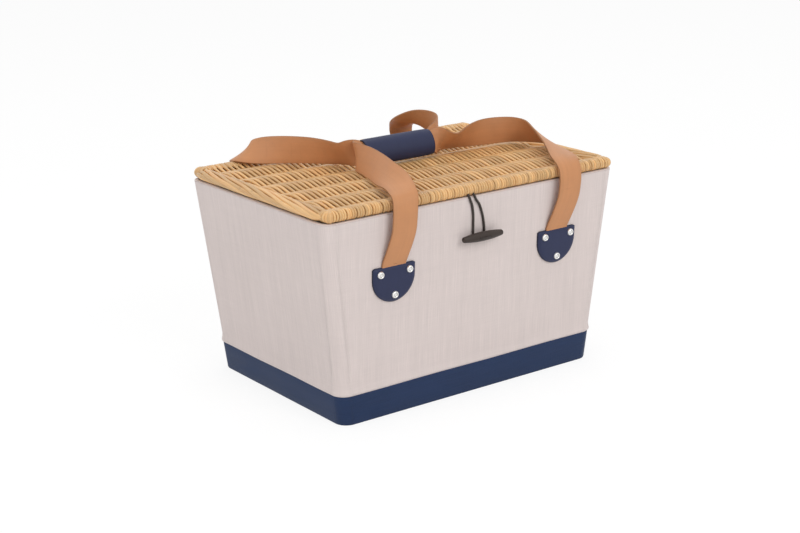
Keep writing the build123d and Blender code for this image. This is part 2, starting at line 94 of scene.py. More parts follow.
# ---- what a user may change ----
class TubSizes(bpy.types.PropertyGroup):
    top_length: length("Top length", 0.46, "Over the canvas at the rim")
    top_width: length("Top width", 0.31, "Over the canvas at the rim")
    base_length: length("Base length", 0.402, "Over the canvas at the base")
    base_width: length("Base width", 0.282, "Over the canvas at the base")
    height: length("Height", 0.26, "From the base to the rim")
    corner: length("Corner radius", 0.016, "Of the upright corners")
    band: length("Band height", 0.039, "Of the leatherette band round the base")
    hem_swell: length("Hem swell", 0.0022, "How far the canvas's hem stands out over the band")


class LidSizes(bpy.types.PropertyGroup):
    weaver: length("Weaver radius", 0.00192, "Of the willow strands that cross the lid")
    weaver_pitch: length("Weaver pitch", 0.0037, "From one strand to the next")
    rope: length("Border strand radius", 0.0026, "Of the strands rolled into the side borders")
    rope_pitch: length("Border twist", 0.31, "Length of one turn of the side borders' twist")
    binding: length("Binding radius", 0.0019, "Of the strands bound round the corners")


class StrapSizes(bpy.types.PropertyGroup):
    width: length("Width", 0.036, "Of the carrying straps")
    thickness: length("Thickness", 0.0026, "Of the carrying straps")
    reach: length("Reach", 0.166, "From the middle to the straps' furthest line")
    patch_pitch: length("Patch pitch", 0.26, "Between the middles of the patches on one side")
    patch_height: length("Patch height", 0.046, "Of each D-shaped patch")


class Colours(bpy.types.PropertyGroup):
    canvas: colour("Canvas", (224, 211, 207), "The tub's cloth")
    band: colour("Band", (36, 54, 88), "The leatherette round the base")
    navy: colour("Navy leather", (42, 48, 78), "Patches and grip")
    tan: colour("Tan leather", (199, 139, 94), "Straps")
    willow: colour("Willow", (226, 182, 124), "Peeled willow")
    lining: colour("Lining", (222, 213, 200), "The cotton inside")
    horn: colour("Toggle", (54, 44, 39), "Dark stained wood")
    cord: colour("Cord", (50, 40, 34), "The waxed closing cord")


def tub():
    return bpy.context.scene.basket_tub


def half_length(height):
    """Half the tub's length over the canvas at a height."""
    sizes = tub()
    return (sizes.base_length + (sizes.top_length - sizes.base_length) * height / sizes.height) / 2


def half_width(height):
    """Half the tub's width over the canvas at a height."""
    sizes = tub()
    return (sizes.base_width + (sizes.top_width - sizes.base_width) * height / sizes.height) / 2


def wall_lean():
    """How far the front and back walls lean out."""
    sizes = tub()
    return atan2((sizes.top_width - sizes.base_width) / 2, sizes.height)


def end_lean():
    """How far the left and right walls lean out."""
    sizes = tub()
    return atan2((sizes.top_length - sizes.base_length) / 2, sizes.height)


def on_wall(turn, across, height):
    """A matrix on the front wall, or where turn is -1 on the back wall: x along it, y up it, z outwards."""
    lean = wall_lean()
    out = Vector((0, -turn * cos(lean), -sin(lean)))
    along = Vector((turn, 0, 0))
    place = Matrix((along, out.cross(along), out)).transposed().to_4x4()
    place.translation = (turn * across, -turn * half_width(height), height)
    return place


# ---- materials ----
class Wire:
    """A node's output in an expression; each operator adds its Math node."""

    def __init__(self, finish, socket):
        self.finish = finish
        self.socket = socket

    def math(self, operation, *values):
        return self.finish.node("ShaderNodeMath", {"operation": operation}, dict(enumerate(values)))

    def __add__(self, other):
        return self.math("ADD", self, other)

    def __sub__(self, other):
        return self.math("SUBTRACT", self, other)

    def __rsub__(self, other):
        return self.math("SUBTRACT", other, self)

    def __mul__(self, other):
        return self.math("MULTIPLY", self, other)

    def __abs__(self):
        return self.math("ABSOLUTE", self)

    __radd__ = __add__
    __rmul__ = __mul__


class Finish:
    """A material, or a world, and its nodes."""

    def __init__(self, name, kind="materials"):
        self.owner = getattr(bpy.data, kind).new(name)
        self.owner.use_nodes = True
        self.tree = self.owner.node_tree
        self.tree.nodes.clear()

    def node(self, kind, settings, values, output=0):
        """Add a node with its settings, fill or link its sockets, and give one of its outputs."""
        made = self.tree.nodes.new(kind)
        for key, value in settings.items():
            setattr(made, key, value)
        for key, value in values.items():
            if isinstance(value, Wire):
                self.tree.links.new(value.socket, made.inputs[key])
            else:
                made.inputs[key].default_value = value
        return Wire(self, made.outputs[output]) if made.outputs else None

    def parts(self, vector):
        """The three parts of a vector."""
        split = self.node("ShaderNodeSeparateXYZ", {}, {0: vector}).socket.node
        return [Wire(self, socket) for socket in split.outputs]

    def place(self):
        """The object's own coordinates, in metres."""
        return self.node("ShaderNodeTexCoord", {}, {}, "Object")

    def chart(self):
        """The piece's own UV map, in metres along the material."""
        return self.node("ShaderNodeUVMap", {"uv_map": "Chart"}, {})

    def own(self, name):
        """A number stored on the piece's mesh."""
        return self.node("ShaderNodeAttribute", {"attribute_name": name}, {}, "Fac")

    def joined(self, x, y, z=0.0):
        """A vector from its parts."""
        return self.node("ShaderNodeCombineXYZ", {}, {0: x, 1: y, 2: z})

    def larger(self, first, second):
        """The larger of two numbers."""
        return self.node("ShaderNodeMath", {"operation": "MAXIMUM"}, {0: first, 1: second})

    def sine(self, angle):
        return self.node("ShaderNodeMath", {"operation": "SINE"}, {0: angle})

    def rays(self, *kinds):
        """1 for a ray of any of those kinds, else 0."""
        path = self.node("ShaderNodeLightPath", {}, {}).socket.node
        seen = Wire(self, path.outputs[kinds[0]])
        for kind in kinds[1:]:
            seen = self.larger(seen, Wire(self, path.outputs[kind]))
        return seen

    def noise(self, vector, scale, detail=3.0):
        """Soft noise from 0 to 1."""
        return self.node("ShaderNodeTexNoise", {}, {"Vector": vector, "Scale": scale, "Detail": detail})

    def cells(self, vector, scale):
        """The distance to the nearest of scattered points."""
        return self.node("ShaderNodeTexVoronoi", {}, {"Vector": vector, "Scale": scale})

    def step(self, value, low, high):
        """0 below low and 1 above high, smooth between."""
        settings = {"interpolation_type": "SMOOTHSTEP"}
        return self.node("ShaderNodeMapRange", settings, {0: value, 1: low, 2: high})

    def mix(self, share, first, second):
        """One colour turning into another."""
        values = {0: share}
        for key, shade in ((6, first), (7, second)):
            values[key] = shade if isinstance(shade, Wire) else (*shade, 1)
        return self.node("ShaderNodeMix", {"data_type": "RGBA"}, values, 2)

    def scaled(self, shade, amount):
        """A colour made lighter or darker."""
        shade = shade if isinstance(shade, Wire) else tuple(shade)
        return self.node("ShaderNodeVectorMath", {"operation": "SCALE"}, {0: shade, "Scale": amount})

    def surface(self, base, roughness, height=None, depth=0.0002, plain=None):
        """Close the material with its colour, roughness, relief and plain settings."""
        values = {"Base Color": base, "Roughness": roughness, **(plain or {})}
        if height is not None:
            bump = {"Height": height, "Distance": depth, "Strength": 1.0}
            values["Normal"] = self.node("ShaderNodeBump", {}, bump)
        shader = self.node("ShaderNodeBsdfPrincipled", {}, values)
        self.node("ShaderNodeOutputMaterial", {}, {"Surface": shader})
        return self.owner


def woven(finish, u, v, pitch):
    """The relief of a plain weave with that thread pitch."""
    turns = 2 * pi / pitch
    return finish.sine(u * turns) * finish.sine(v * turns) * 0.5 + 0.5


def upright_seams(finish):
    """1 on the seam each side of every upright corner of the tub, else 0."""
    sizes = tub()
    x, y, z = finish.parts(finish.place())
    lines = []
    for side, base, lean in ((x, sizes.base_length, end_lean()), (y, sizes.base_width, wall_lean())):
        edge = abs(abs(side) - z * (sin(lean) / cos(lean)) - (base / 2 - sizes.corner - 1.5 * MM))
        lines.append(1.0 - finish.step(edge, 0.2 * MM, 1.3 * MM))
    return finish.larger(*lines)


def canvas_finish(name, shade, seams):
    """Slubbed linen canvas, with a seam each side of every upright corner where asked."""
    finish = Finish(name)
    u, v, _ = finish.parts(finish.chart())
    upright = finish.noise(finish.joined(u * 900, v * 22), 1.0, 4.0)
    level = finish.noise(finish.joined(u * 22, v * 900), 1.0, 4.0)
    streaks = finish.noise(finish.joined(u * 130, v * 5), 1.0, 3.0)
    clouds = finish.noise(finish.joined(u * 9, v * 9), 1.0, 2.0)
    slub = finish.step(upright, 0.56, 0.74)
    dark = finish.step(level, 0.6, 0.78)
    bars = finish.noise(finish.joined(u * 5, v * 110), 1.0, 3.0)
    amount = 1.0 + (upright - 0.5) * 0.18 + (level - 0.5) * 0.1 + (streaks - 0.5) * 0.14
    amount = amount + (bars - 0.5) * 0.04 + (clouds - 0.5) * 0.08 + slub * 0.05 - dark * 0.07
    height = woven(finish, u, v, THREAD_PITCH) * 0.45 + upright * 0.5 + level * 0.4 + slub * 0.3
    if seams:
        seam = upright_seams(finish)
        amount = amount - seam * 0.03
        height = height - seam * 0.7
    base = finish.scaled(shade, amount)
    warm = finish.mix(streaks * 0.35, base, finish.scaled(base, 0.97))
    return finish.surface(warm, 0.88, height, 0.00028, {"Sheen Weight": 0.15, "Sheen Roughness": 0.5})


def band_finish(name, shade):
    """Grained leatherette with faint lengthwise lines."""
    finish = Finish(name)
    u, v, _ = finish.parts(finish.chart())
    lines = finish.noise(finish.joined(u * 18, v * 650), 1.0, 3.0)
    grain = finish.cells(finish.joined(u, v), 900.0)
    worn = finish.noise(finish.joined(u * 14, v * 30), 1.0, 4.0)
    amount = 1.0 + (lines - 0.5) * 0.32 + (worn - 0.5) * 0.3 - grain * 0.12
    rough = 0.5 + (worn - 0.5) * 0.22
    return finish.surface(
        finish.scaled(shade, amount), rough, lines * 0.6 - grain * 0.7, 0.00022, {"Specular IOR Level": 0.2}
    )


def leather_finish(name, shade, edge_shade, gloss, shine):
    """Smooth leather with fine pores, a mottled colour and dyed cut edges."""
    finish = Finish(name)
    u, v, _ = finish.parts(finish.chart())
    spot = finish.joined(u, v)
    pores = finish.cells(spot, 1400.0)
    mottle = finish.noise(spot, 38.0, 5.0)
    creases = finish.noise(finish.joined(u * 30, v * 240), 1.0, 4.0)
    drawn = finish.noise(finish.joined(u * 260, v * 9), 1.0, 3.0)
    amount = 1.0 + (mottle - 0.5) * 0.22 + (drawn - 0.5) * 0.12 - finish.step(creases, 0.6, 0.8) * 0.06
    rim = finish.own("rim")
    base = finish.mix(rim * 0.75, finish.scaled(shade, amount), edge_shade)
    rough = gloss + (mottle - 0.5) * 0.16 + rim * 0.1
    height = mottle * 0.5 - pores * 0.5 + creases * 0.35
    return finish.surface(base, rough, height, 0.00014, {"Specular IOR Level": shine})


def willow_colour(finish, around, along, shade, base):
    """Buff willow: streaks along the rod, darker patches and now and then a knot."""
    streaks = finish.noise(finish.joined(around * 9, along * 45, shade * 40), 1.0, 4.0)
    patches = finish.noise(finish.joined(around, along * 16, shade * 23), 1.0, 3.0)
    spots = finish.noise(finish.joined(around * 2, along * 60, shade * 11), 1.0, 1.0)
    knots = finish.step(spots, 0.71, 0.78)
    amount = 0.8 + shade * 0.34 + (streaks - 0.5) * 0.3 + (patches - 0.5) * 0.22 - knots * 0.3
    reddish = tuple(part * tone for part, tone in zip(base, (0.88, 0.7, 0.52)))
    tone = finish.mix(finish.step(patches, 0.42, 0.75) * 0.55, base, reddish)
    return finish.scaled(tone, amount), streaks * 0.7 - knots * 0.6


def willow_finish(name, base):
    """Willow strands, each with its own shade."""
    finish = Finish(name)
    around, along, _ = finish.parts(finish.chart())
    tone, height = willow_colour(finish, around, along, finish.own("shade"), base)
    return finish.surface(tone, 0.4, height, 0.00025, {"Coat Weight": 0.3, "Coat Roughness": 0.3})


def rod_finish(name, base):
    """The straight willow rods that the lid is woven on."""
    finish = Finish(name)
    x, y, z = finish.parts(finish.place())
    tone, height = willow_colour(finish, y * 300 + z * 200, x, 0.35, base)
    return finish.surface(tone, 0.42, height, 0.00025, {"Coat Weight": 0.25, "Coat Roughness": 0.3})


def board_finish(name, shade):
    """Grey fibre board."""
    finish = Finish(name)
    spot = finish.place()
    fibres = finish.noise(spot, 900.0, 5.0)
    flecks = finish.step(finish.noise(spot, 420.0, 2.0), 0.62, 0.7)
    amount = 1.0 + (fibres - 0.5) * 0.4 - flecks * 0.2
    return finish.surface(finish.scaled(shade, amount), 0.92, fibres, 0.0002)


def nickel_finish(name):
    """Polished nickel with fine rubbing marks, and painted shade in each patch rivet's pressed ring."""
    finish = Finish(name)
    spot = finish.place()
    marks = finish.noise(spot, 1600.0, 3.0)
    film = finish.noise(spot, 240.0, 2.0)
    # The stored number marks each patch rivet's pressed ring, which is darkened nearly to black as painted
    # shade.
    middle = finish.own("rim")
    base = finish.scaled((0.82, 0.81, 0.79), 0.92 + film * 0.16 - middle * 0.8)
    return finish.surface(base, 0.2 + marks * 0.18, marks, 0.00003, {"Metallic": 1.0})


def horn_finish(name, shade):
    """Dark stained wood with lengthwise grain."""
    finish = Finish(name)
    x, y, z = finish.parts(finish.place())
    grain = finish.noise(finish.joined(x * 25, y * 700, z * 700), 1.0, 5.0)
    clouds = finish.noise(finish.joined(x * 20, y * 60, z * 60), 1.0, 2.0)
    amount = 0.75 + grain * 0.7 + (clouds - 0.5) * 0.5
    return finish.surface(
        finish.scaled(shade, amount), 0.3 + grain * 0.2, grain, 0.00015, {"Specular IOR Level": 0.3}
    )


def cord_finish(name, shade):
    """Waxed twisted cord."""
    finish = Finish(name)
    around, along, _ = finish.parts(finish.chart())
    fibres = finish.noise(finish.joined(around * 14 + along * 900, along * 90), 1.0, 3.0)
    return finish.surface(finish.scaled(shade, 0.7 + fibres * 0.6), 0.5, fibres, 0.0001)


def felt_finish(name):
    """Grey wool felt."""
    finish = Finish(name)
    spot = finish.place()
    fibres = finish.noise(spot, 1300.0, 6.0)
    clumps = finish.noise(spot, 160.0, 3.0)
    base = finish.scaled(linear(176, 174, 170), 0.8 + fibres * 0.25 + clumps * 0.2)
    return finish.surface(base, 0.95, fibres + clumps, 0.0004, {"Sheen Weight": 0.3})


finishes = {}


def finish_for(key):
    """The finish of that name, made the first time it is asked for."""
    palette = bpy.context.scene.basket_colours
    dark_tan = tuple(part * 0.5 for part in palette.tan)
    dark_navy = tuple(part * 0.3 for part in palette.navy)
    makers = {
        "canvas": (canvas_finish, "slubbed_canvas", palette.canvas, True),
        "tape": (canvas_finish, "canvas_tape", palette.canvas, False),
        "lining": (canvas_finish, "cotton_lining", palette.lining, False),
        "band": (band_finish, "leatherette", palette.band),
        "tan": (leather_finish, "tan_leather", palette.tan, dark_tan, 0.48, 0.4),
        "navy": (leather_finish, "navy_leather", palette.navy, dark_navy, 0.46, 0.28),
        "willow": (willow_finish, "peeled_willow", palette.willow),
        "rod": (rod_finish, "willow_rod", palette.willow),
        "board": (board_finish, "fibre_board", linear(150, 136, 116)),
        "underside": (board_finish, "base_paper", tuple(palette.band)),
        "nickel": (nickel_finish, "polished_nickel"),
        "horn": (horn_finish, "stained_wood", palette.horn),
        "cord": (cord_finish, "waxed_cord", palette.cord),
        "felt": (felt_finish, "wool_felt"),
    }
    if key not in finishes:
        maker, *values = makers[key]
        finishes[key] = maker(*values)
    return finishes[key]


def wear(obj, key):
    """Give a piece its finish, in each of its material slots or in a new one."""
    if obj.material_slots:
        for holder in obj.material_slots:
            holder.material = finish_for(key)
    else:
        obj.data.materials.append(finish_for(key))
    return obj


# ---- modelling by hand ----
def deselect():
    bpy.ops.object.select_all(action="DESELECT")


def pick(obj):
    """Make a piece the one that operators act on."""
    deselect()
    obj.select_set(True)
    bpy.context.view_layer.objects.active = obj
    return obj


def started(name):
    """The primitive just added, under its own name."""
    obj = bpy.context.object
    obj.name = name
    obj.data.name = name
    return obj


def choose(obj, kind, test):
    """In edit mode, select the edges or faces that pass a test."""
    bpy.ops.mesh.select_mode(type=kind)
    mesh = bmesh.from_edit_mesh(obj.data)
    for group in (mesh.verts, mesh.edges, mesh.faces):
        for part in group:
            part.select = False
    for part in mesh.edges if kind == "EDGE" else mesh.faces:
        if test(part):
            part.select_set(True)
    bmesh.update_edit_mesh(obj.data)


def modified(obj, kind, **settings):
    """Add a modifier and apply it."""
    pick(obj)
    modifier = obj.modifiers.new(kind.title(), kind)
    for key, value in settings.items():
        setattr(modifier, key, value)
    bpy.ops.object.modifier_apply(modifier=modifier.name)
    return obj


def smoothed(obj, degrees=40):
    """Smooth shading, with corners sharper than that kept."""
    pick(obj)
    bpy.ops.object.shade_smooth_by_angle(angle=radians(degrees))
    return obj


def outward(obj):
    """Turn all of a piece's faces outwards."""
    pick(obj)
    bpy.ops.object.mode_set(mode="EDIT")
    bpy.ops.mesh.select_all(action="SELECT")
    bpy.ops.mesh.normals_make_consistent(inside=False)
    bpy.ops.object.mode_set(mode="OBJECT")
    return obj


def stored(obj, name, values):
    """Store a number for each vertex of a piece."""
    layer = obj.data.attributes.new(name, "FLOAT", "POINT")
    layer.data.foreach_set("value", np.asarray(values, np.float32))
    return obj


def charted(obj, measure):
    """Give a piece its UV map: each face corner's place along the material, in metres."""
    layer = obj.data.uv_layers.get("Chart") or obj.data.uv_layers.new(name="Chart")
    for face in obj.data.polygons:
        for corner in face.loop_indices:
            spot = obj.data.vertices[obj.data.loops[corner].vertex_index].co
            layer.data[corner].uv = measure(spot, face)
    return obj


def built(name, vertices, faces, corners, smooth=True):
    """A piece from its vertices and faces, with the UV of every face corner."""
    mesh = bpy.data.meshes.new(name)
    mesh.from_pydata(vertices, [], faces)
    layer = mesh.uv_layers.new(name="Chart")
    layer.data.foreach_set("uv", np.asarray(corners, np.float32).ravel())
    mesh.polygons.foreach_set("use_smooth", [smooth] * len(mesh.polygons))
    mesh.update()
    obj = bpy.data.objects.new(name, mesh)
    bpy.context.scene.collection.objects.link(obj)
    return obj


# ---- the tub ----
def round_the_tub(spot, face):
    """A spot's place on the cloth: how far round from the front's middle, and how high."""
    sizes = tub()
    long = sizes.top_length / 2 - sizes.corner
    wide = sizes.top_width / 2 - sizes.corner
    arc = sizes.corner * pi / 2
    hand = 1 if face.center.x >= 0 else -1
    x = abs(spot.x)
    flat_x = half_length(spot.z) - sizes.corner
    flat_y = half_width(spot.z) - sizes.corner
    if abs(spot.y) >= flat_y - 1e-5 and x <= flat_x + 1e-5:
        along = min(x, long)
        round_ = along if spot.y < 0 else 2 * long + 2 * arc + 2 * wide - along
    elif abs(spot.y) <= flat_y:
        round_ = long + arc + wide + spot.y
    else:
        angle = atan2(abs(spot.y) - flat_y, x - flat_x)
        if spot.y < 0:
            round_ = long + sizes.corner * (pi / 2 - angle)
        else:
            round_ = long + arc + 2 * wide + sizes.corner * angle
    return hand * round_, spot.z


def tub_walls(name, low, high, inset, rows, columns, floor=False):
    """The tub's four walls between two heights, set in from the canvas's faces, cut into rows and columns."""
    sizes = tub()
    deselect()
    bpy.ops.mesh.primitive_cube_add(size=2, location=(0, 0, 0))
    box = started(name)
    for vertex in box.data.vertices:
        height = high if vertex.co.z > 0 else low
        vertex.co.x *= half_length(height) - inset / cos(end_lean())
        vertex.co.y *= half_width(height) - inset / cos(wall_lean())
        vertex.co.z = height
    bpy.ops.object.mode_set(mode="EDIT")
    choose(box, "EDGE", lambda edge: abs(edge.verts[0].co.z - edge.verts[1].co.z) > 1e-4)
    bpy.ops.mesh.bevel(offset=sizes.corner - inset, segments=8, affect="EDGES")
    choose(box, "FACE", lambda face: face.normal.z > 0.9 or (not floor and face.normal.z < -0.9))
    bpy.ops.mesh.delete(type="FACE")
    cuts = [((0, 0, height), (0, 0, 1)) for height in rows]
    shares = np.linspace(-1, 1, columns)[1:-1] if columns else ()
    cuts += [((share * half_length(low), 0, 0), (1, 0, 0)) for share in shares]
    cuts += [((0, share * half_width(low), 0), (0, 1, 0)) for share in shares]
    for spot, across in cuts:
        bpy.ops.mesh.select_all(action="SELECT")
        bpy.ops.mesh.bisect(plane_co=spot, plane_no=across)
    bpy.ops.object.mode_set(mode="OBJECT")
    return box


def pushed(obj, shift):
    """Move every vertex of a wall out and down by amounts that depend on its place."""
    normals = [vertex.normal.copy() for vertex in obj.data.vertices]
    for vertex, normal in zip(obj.data.vertices, normals):
        out = Vector((normal.x, normal.y, 0)).normalized()
        amount, drop = shift(vertex.co)
        vertex.co += out * amount
        vertex.co.z -= drop
    obj.data.update()
    return obj


def hem_dip(spot):
    """How far the canvas's hem hangs lower than level: a little, more on the left."""
    wander = 0.3 * MM * (sin(spot.x * 31 + 0.7) + sin(spot.y * 47))
    left = max(0.0, 1 - abs(spot.x + half_length(spot.z)) / (30 * MM))
    return wander + 1.4 * MM * left * max(0.0, min(1.0, (0.1 + spot.y) / 0.2))


def canvas_shift(spot):
    """The canvas's small ripples, its hem's swell over the band and its dip."""
    sizes = tub()
    above = (spot.z - sizes.band) / MM
    swell = np.interp(above, [-1, 0.3, 1.2, 2.4, 4, 6.5, 10.5], [0, 0.65, 0.95, 1, 0.75, 0.35, 0])
    ripple = 0.5 + 0.25 * sin(spot.x * 38 + spot.z * 9) + 0.25 * sin(spot.y * 51 - spot.z * 13 + spot.x * 7)
    hem = max(0.0, min(1.0, 1 - abs(above - 2) / 12))
    return sizes.hem_swell * swell + 0.4 * MM * ripple, hem_dip(spot) * hem


def band_shift(spot):
    """The band's rolled edges and its small ripples."""
    low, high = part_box("base_band")
    heights = [low.z, low.z + 1.2 * MM, high.z - 1.4 * MM, high.z]
    rolled = np.interp(spot.z, heights, [-0.45, 0, 0, -0.5])
    return rolled * MM + 0.12 * MM * sin(spot.x * 44) * sin(spot.y * 61), 0.0


def thickened(wall, thickness):
    """Give a cloth its thickness, inwards from its face."""
    return modified(wall, "SOLIDIFY", thickness=thickness, offset=-1)


def finished_wall(wall, key, node):
    """Give a cloth its finish, hide the node it stands for and let it ride on the tub."""
    wear(smoothed(wall, 50), key)
    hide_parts(node)
    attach(wall, "tub")


def make_canvas():
    """The canvas cover, cut into closer rows at its hem."""
    low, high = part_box("canvas_cover")
    hem = [tub().band + step * MM for step in (-1, 0.3, 1.2, 2.4, 4, 6.5, 10.5, 18, 32, 56)]
    rows = [*hem, 0.12, 0.145, 0.17, 0.195, 0.22, 0.24]
    canvas = pushed(tub_walls("canvas_cover_cloth", low.z, high.z, 0.0, rows, 23), canvas_shift)
    charted(canvas, round_the_tub)
    finished_wall(thickened(canvas, 1.2 * MM), "canvas", "canvas_cover")


def make_band():
    """The leatherette band, which stands just proud of the canvas's line."""
    low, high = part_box("base_band")
    bottom = [low.z + 0.4 * MM, low.z + 1.2 * MM]
    rows = [*bottom, 0.012, 0.024, high.z - 1.4 * MM, high.z - 0.5 * MM]
    band = tub_walls("base_band_leatherette", low.z, high.z, -0.85 * MM, rows, 17)
    charted(pushed(band, band_shift), round_the_tub)
    finished_wall(thickened(band, 0.75 * MM), "band", "base_band")


def make_lining():
    """The lining, with its floor."""
    low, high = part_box("lining")
    rows = [0.03, 0.08, 0.13, 0.18, 0.23]
    lining = tub_walls("lining_cloth", low.z, high.z, 4.25 * MM, rows, 13, True)

    def lining_measure(spot, face):
        return (spot.x, spot.y) if abs(face.normal.z) > 0.9 else round_the_tub(spot, face)

    charted(lining, lining_measure)
    finished_wall(thickened(lining, 1.0 * MM), "lining", "lining")


def make_rim():
    """The tape that binds the rim."""
    low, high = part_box("rim_binding")
    rim = charted(tub_walls("rim_tape", low.z, high.z, 0.0, [], 0), round_the_tub)
    modified(thickened(rim, 5.2 * MM), "BEVEL", width=0.5 * MM, segments=2, limit_method="ANGLE")
    finished_wall(rim, "tape", "rim_binding")


def make_piping():
    """The piping down the lining's four inner corners."""
    low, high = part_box("lining")
    inward = tub().corner * (1 - 0.7071) + 6.0 * MM
    piping = []
    for side_x in (-1, 1):
        for side_y in (-1, 1):
            points = []
            for height in np.linspace(low.z + 3 * MM, high.z - 2 * MM, 12):
                x, y = half_length(height) - inward, half_width(height) - inward
                points.append((side_x * x, side_y * y, height))
            piping.append((points, [0.9 * MM] * len(points), 0.5))
    welt = strands("lining_piping", piping, 8)
    wear(welt, "tape")
    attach(welt, "tub")


# ---- strands ----
def measured(line):
    """A line's direction at each point, and how far it has travelled there."""
    along = np.gradient(line, axis=0)
    along /= np.linalg.norm(along, axis=1)[:, None]
    steps = np.linalg.norm(np.diff(line, axis=0), axis=1)
    return along, np.concatenate([[0.0], np.cumsum(steps)])


def squared(across, way):
    """A crossway turned square to the line's direction, of length 1."""
    across = across - way * across.dot(way)
    return across / np.linalg.norm(across)


def sleeve(first, around, travelled):
    """The faces between rings of vertices, then the two ends' faces, and the UVs of those between rings."""
    count = len(around) - 1
    faces, corners = [], []
    for row in range(len(travelled) - 1):
        low, high = first + row * count, first + (row + 1) * count
        v, t = travelled[row], travelled[row + 1]
        for side in range(count):
            after = (side + 1) % count
            faces.append((low + side, low + after, high + after, high + side))
            u, w = around[side], around[side + 1]
            corners.extend([(u, v), (w, v), (w, t), (u, t)])
    last = first + (len(travelled) - 1) * count
    faces.append(tuple(first + side for side in reversed(range(count))))
    faces.append(tuple(last + side for side in range(count)))
    return faces, corners


def strands(name, routes, sides):
    """One piece of round strands. A route is its points, its radius at each and the strand's own shade."""
    vertices, faces, corners, shades = [], [], [], []
    turns = np.linspace(0, 2 * pi, sides, endpoint=False)
    around = [side / sides for side in range(sides + 1)]
    for points, radii, shade in routes:
        points = np.asarray(points, float)
        along, travelled = measured(points)
        travelled = travelled + shade * 7
        across = np.cross(along[0], (0.31, 0.2, 0.93))
        first = len(vertices)
        for spot, way, radius in zip(points, along, radii):
            across = squared(across, way)
            up = np.cross(way, across)
            ring = spot + radius * (np.outer(np.cos(turns), across) + np.outer(np.sin(turns), up))
            vertices.extend(ring.tolist())
        shades.extend([shade] * (len(points) * sides))
        tube, charts = sleeve(first, around, travelled)
        faces += tube
        corners += charts + [(0.5, travelled[0])] * sides + [(0.5, travelled[-1])] * sides
    piece = built(name, vertices, faces, corners)
    return stored(piece, "shade", shades)


def middle_of(name):
    """The middle of a node's box."""
    low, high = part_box(name)
    return (low + high) / 2


def half_high(name):
    """Half the height of a node's box."""
    low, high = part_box(name)
    return (high.z - low.z) / 2


class WeaveLines:
    """Where the weavers cross: the two border rods and the stakes between them, front to back."""

    def __init__(self, weaver):
        self.front = middle_of("front_border_rod").y
        self.back = middle_of("back_border_rod").y
        stakes = [middle_of(f"stake_{number}").y for number in range(1, 6)]
        self.lines = sorted([self.front, *stakes, self.back])
        low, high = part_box("willow_weave")
        self.middle = (low.z + high.z) / 2
        self.swing = half_high("front_border_rod") + weaver + 0.02 * MM
        self.crossing = (half_high("stake_1") + weaver) * STAKE_SQUEEZE

    def tucked(self, line, inward, tail, sign):
        """A weaver's end, turned back on the other side of the field and pressed into it."""
        ends = []
        for share, drop in ((1, 2.6), (0.5, 0.9)):
            level = self.middle - sign * (self.swing - drop * MM)
            ends.append((line + inward * tail * share, level, 1.0))
        return ends

    def round_rod(self, line, angles, sign):
        """A weaver's turn round a border rod."""
        points = []
        for angle in angles:
            out, up = self.swing * cos(radians(angle)), self.swing * sin(radians(angle))
            points.append((line + out, self.middle + sign * up, 1.0))
        return points

    def field(self, signs):
        """A weaver's run over and under the stakes, where it is pressed broader."""
        points = []
        last = len(self.lines) - 2
        for place, (start, end) in enumerate(zip(self.lines, self.lines[1:])):
            rise = self.swing if place == 0 else self.crossing
            fall = self.swing if place == last else self.crossing
            for part in np.arange(0, 1, 1 / 9):
                wave = cos(pi * part)
                wave *= 0.7 + 0.3 * wave * wave
                level = (rise + (fall - rise) * part) * signs[place] * wave
                points.append((start + (end - start) * part, self.middle + level, 1 + 0.26 * abs(wave)))
        return points


def make_weave():
    """The lid's field: weavers across its width, over and under the stakes and round the border rods."""
    sizes = bpy.context.scene.basket_lid
    low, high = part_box("willow_weave")
    tabs = [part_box(name) for name in ("left_hinge_tab", "right_hinge_tab")]
    count = int((high.x - low.x) / sizes.weaver_pitch)
    draw = random.Random(11)
    squeezes = []
    while len(squeezes) < count:
        group = draw.choice((2, 2, 3, 3, 4))
        squeezes += [((group - 1) / 2 - place) * 0.42 * MM for place in range(group)]
    routes = []
    for number in range(count):
        x = low.x + (high.x - low.x) * (number + 0.5) / count
        radius = sizes.weaver * draw.uniform(0.93, 1.0)
        weave = WeaveLines(radius)
        phase, wander = draw.uniform(0, 6), draw.uniform(0.1, 0.35) * MM
        signs = [1 if (number + place) % 2 else -1 for place in range(len(weave.lines))]
        tail = draw.uniform(8, 13) * MM
        points = weave.tucked(weave.front, 1, tail, signs[0])
        points += weave.round_rod(weave.front, range(270, 90, -20), signs[0])
        points += weave.field(signs)
        if any(box[0].x - TAB_ROOM < x < box[1].x + TAB_ROOM for box in tabs):
            edge = tabs[0][0].y - 0.9 * MM
            points = [spot for spot in points if spot[0] < edge - 1 * MM]
            points.append((edge, points[-1][1] + (points[-1][1] - points[-2][1]) * 0.6, 1.0))
        else:
            points += weave.round_rod(weave.back, range(90, -91, -20), signs[-1])
            points += weave.tucked(weave.back, -1, tail, signs[-1])[::-1]
        route = []
        for y, z, _ in points:
            at_rod = max(0.0, 1 - min(abs(y - weave.front), abs(y - weave.back)) / (12 * MM))
            route.append((x + squeezes[number] * at_rod + wander * sin(y * 60 + phase), y, z))
        radii = [radius * thick * (1 + 0.04 * sin(y * 90 + phase)) for y, _, thick in points]
        routes.append((route, radii, draw.random()))
    weavers = strands("willow_weavers", routes, 8)
    wear(weavers, "willow")
    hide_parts("willow_weave")
    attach(weavers, "lid")


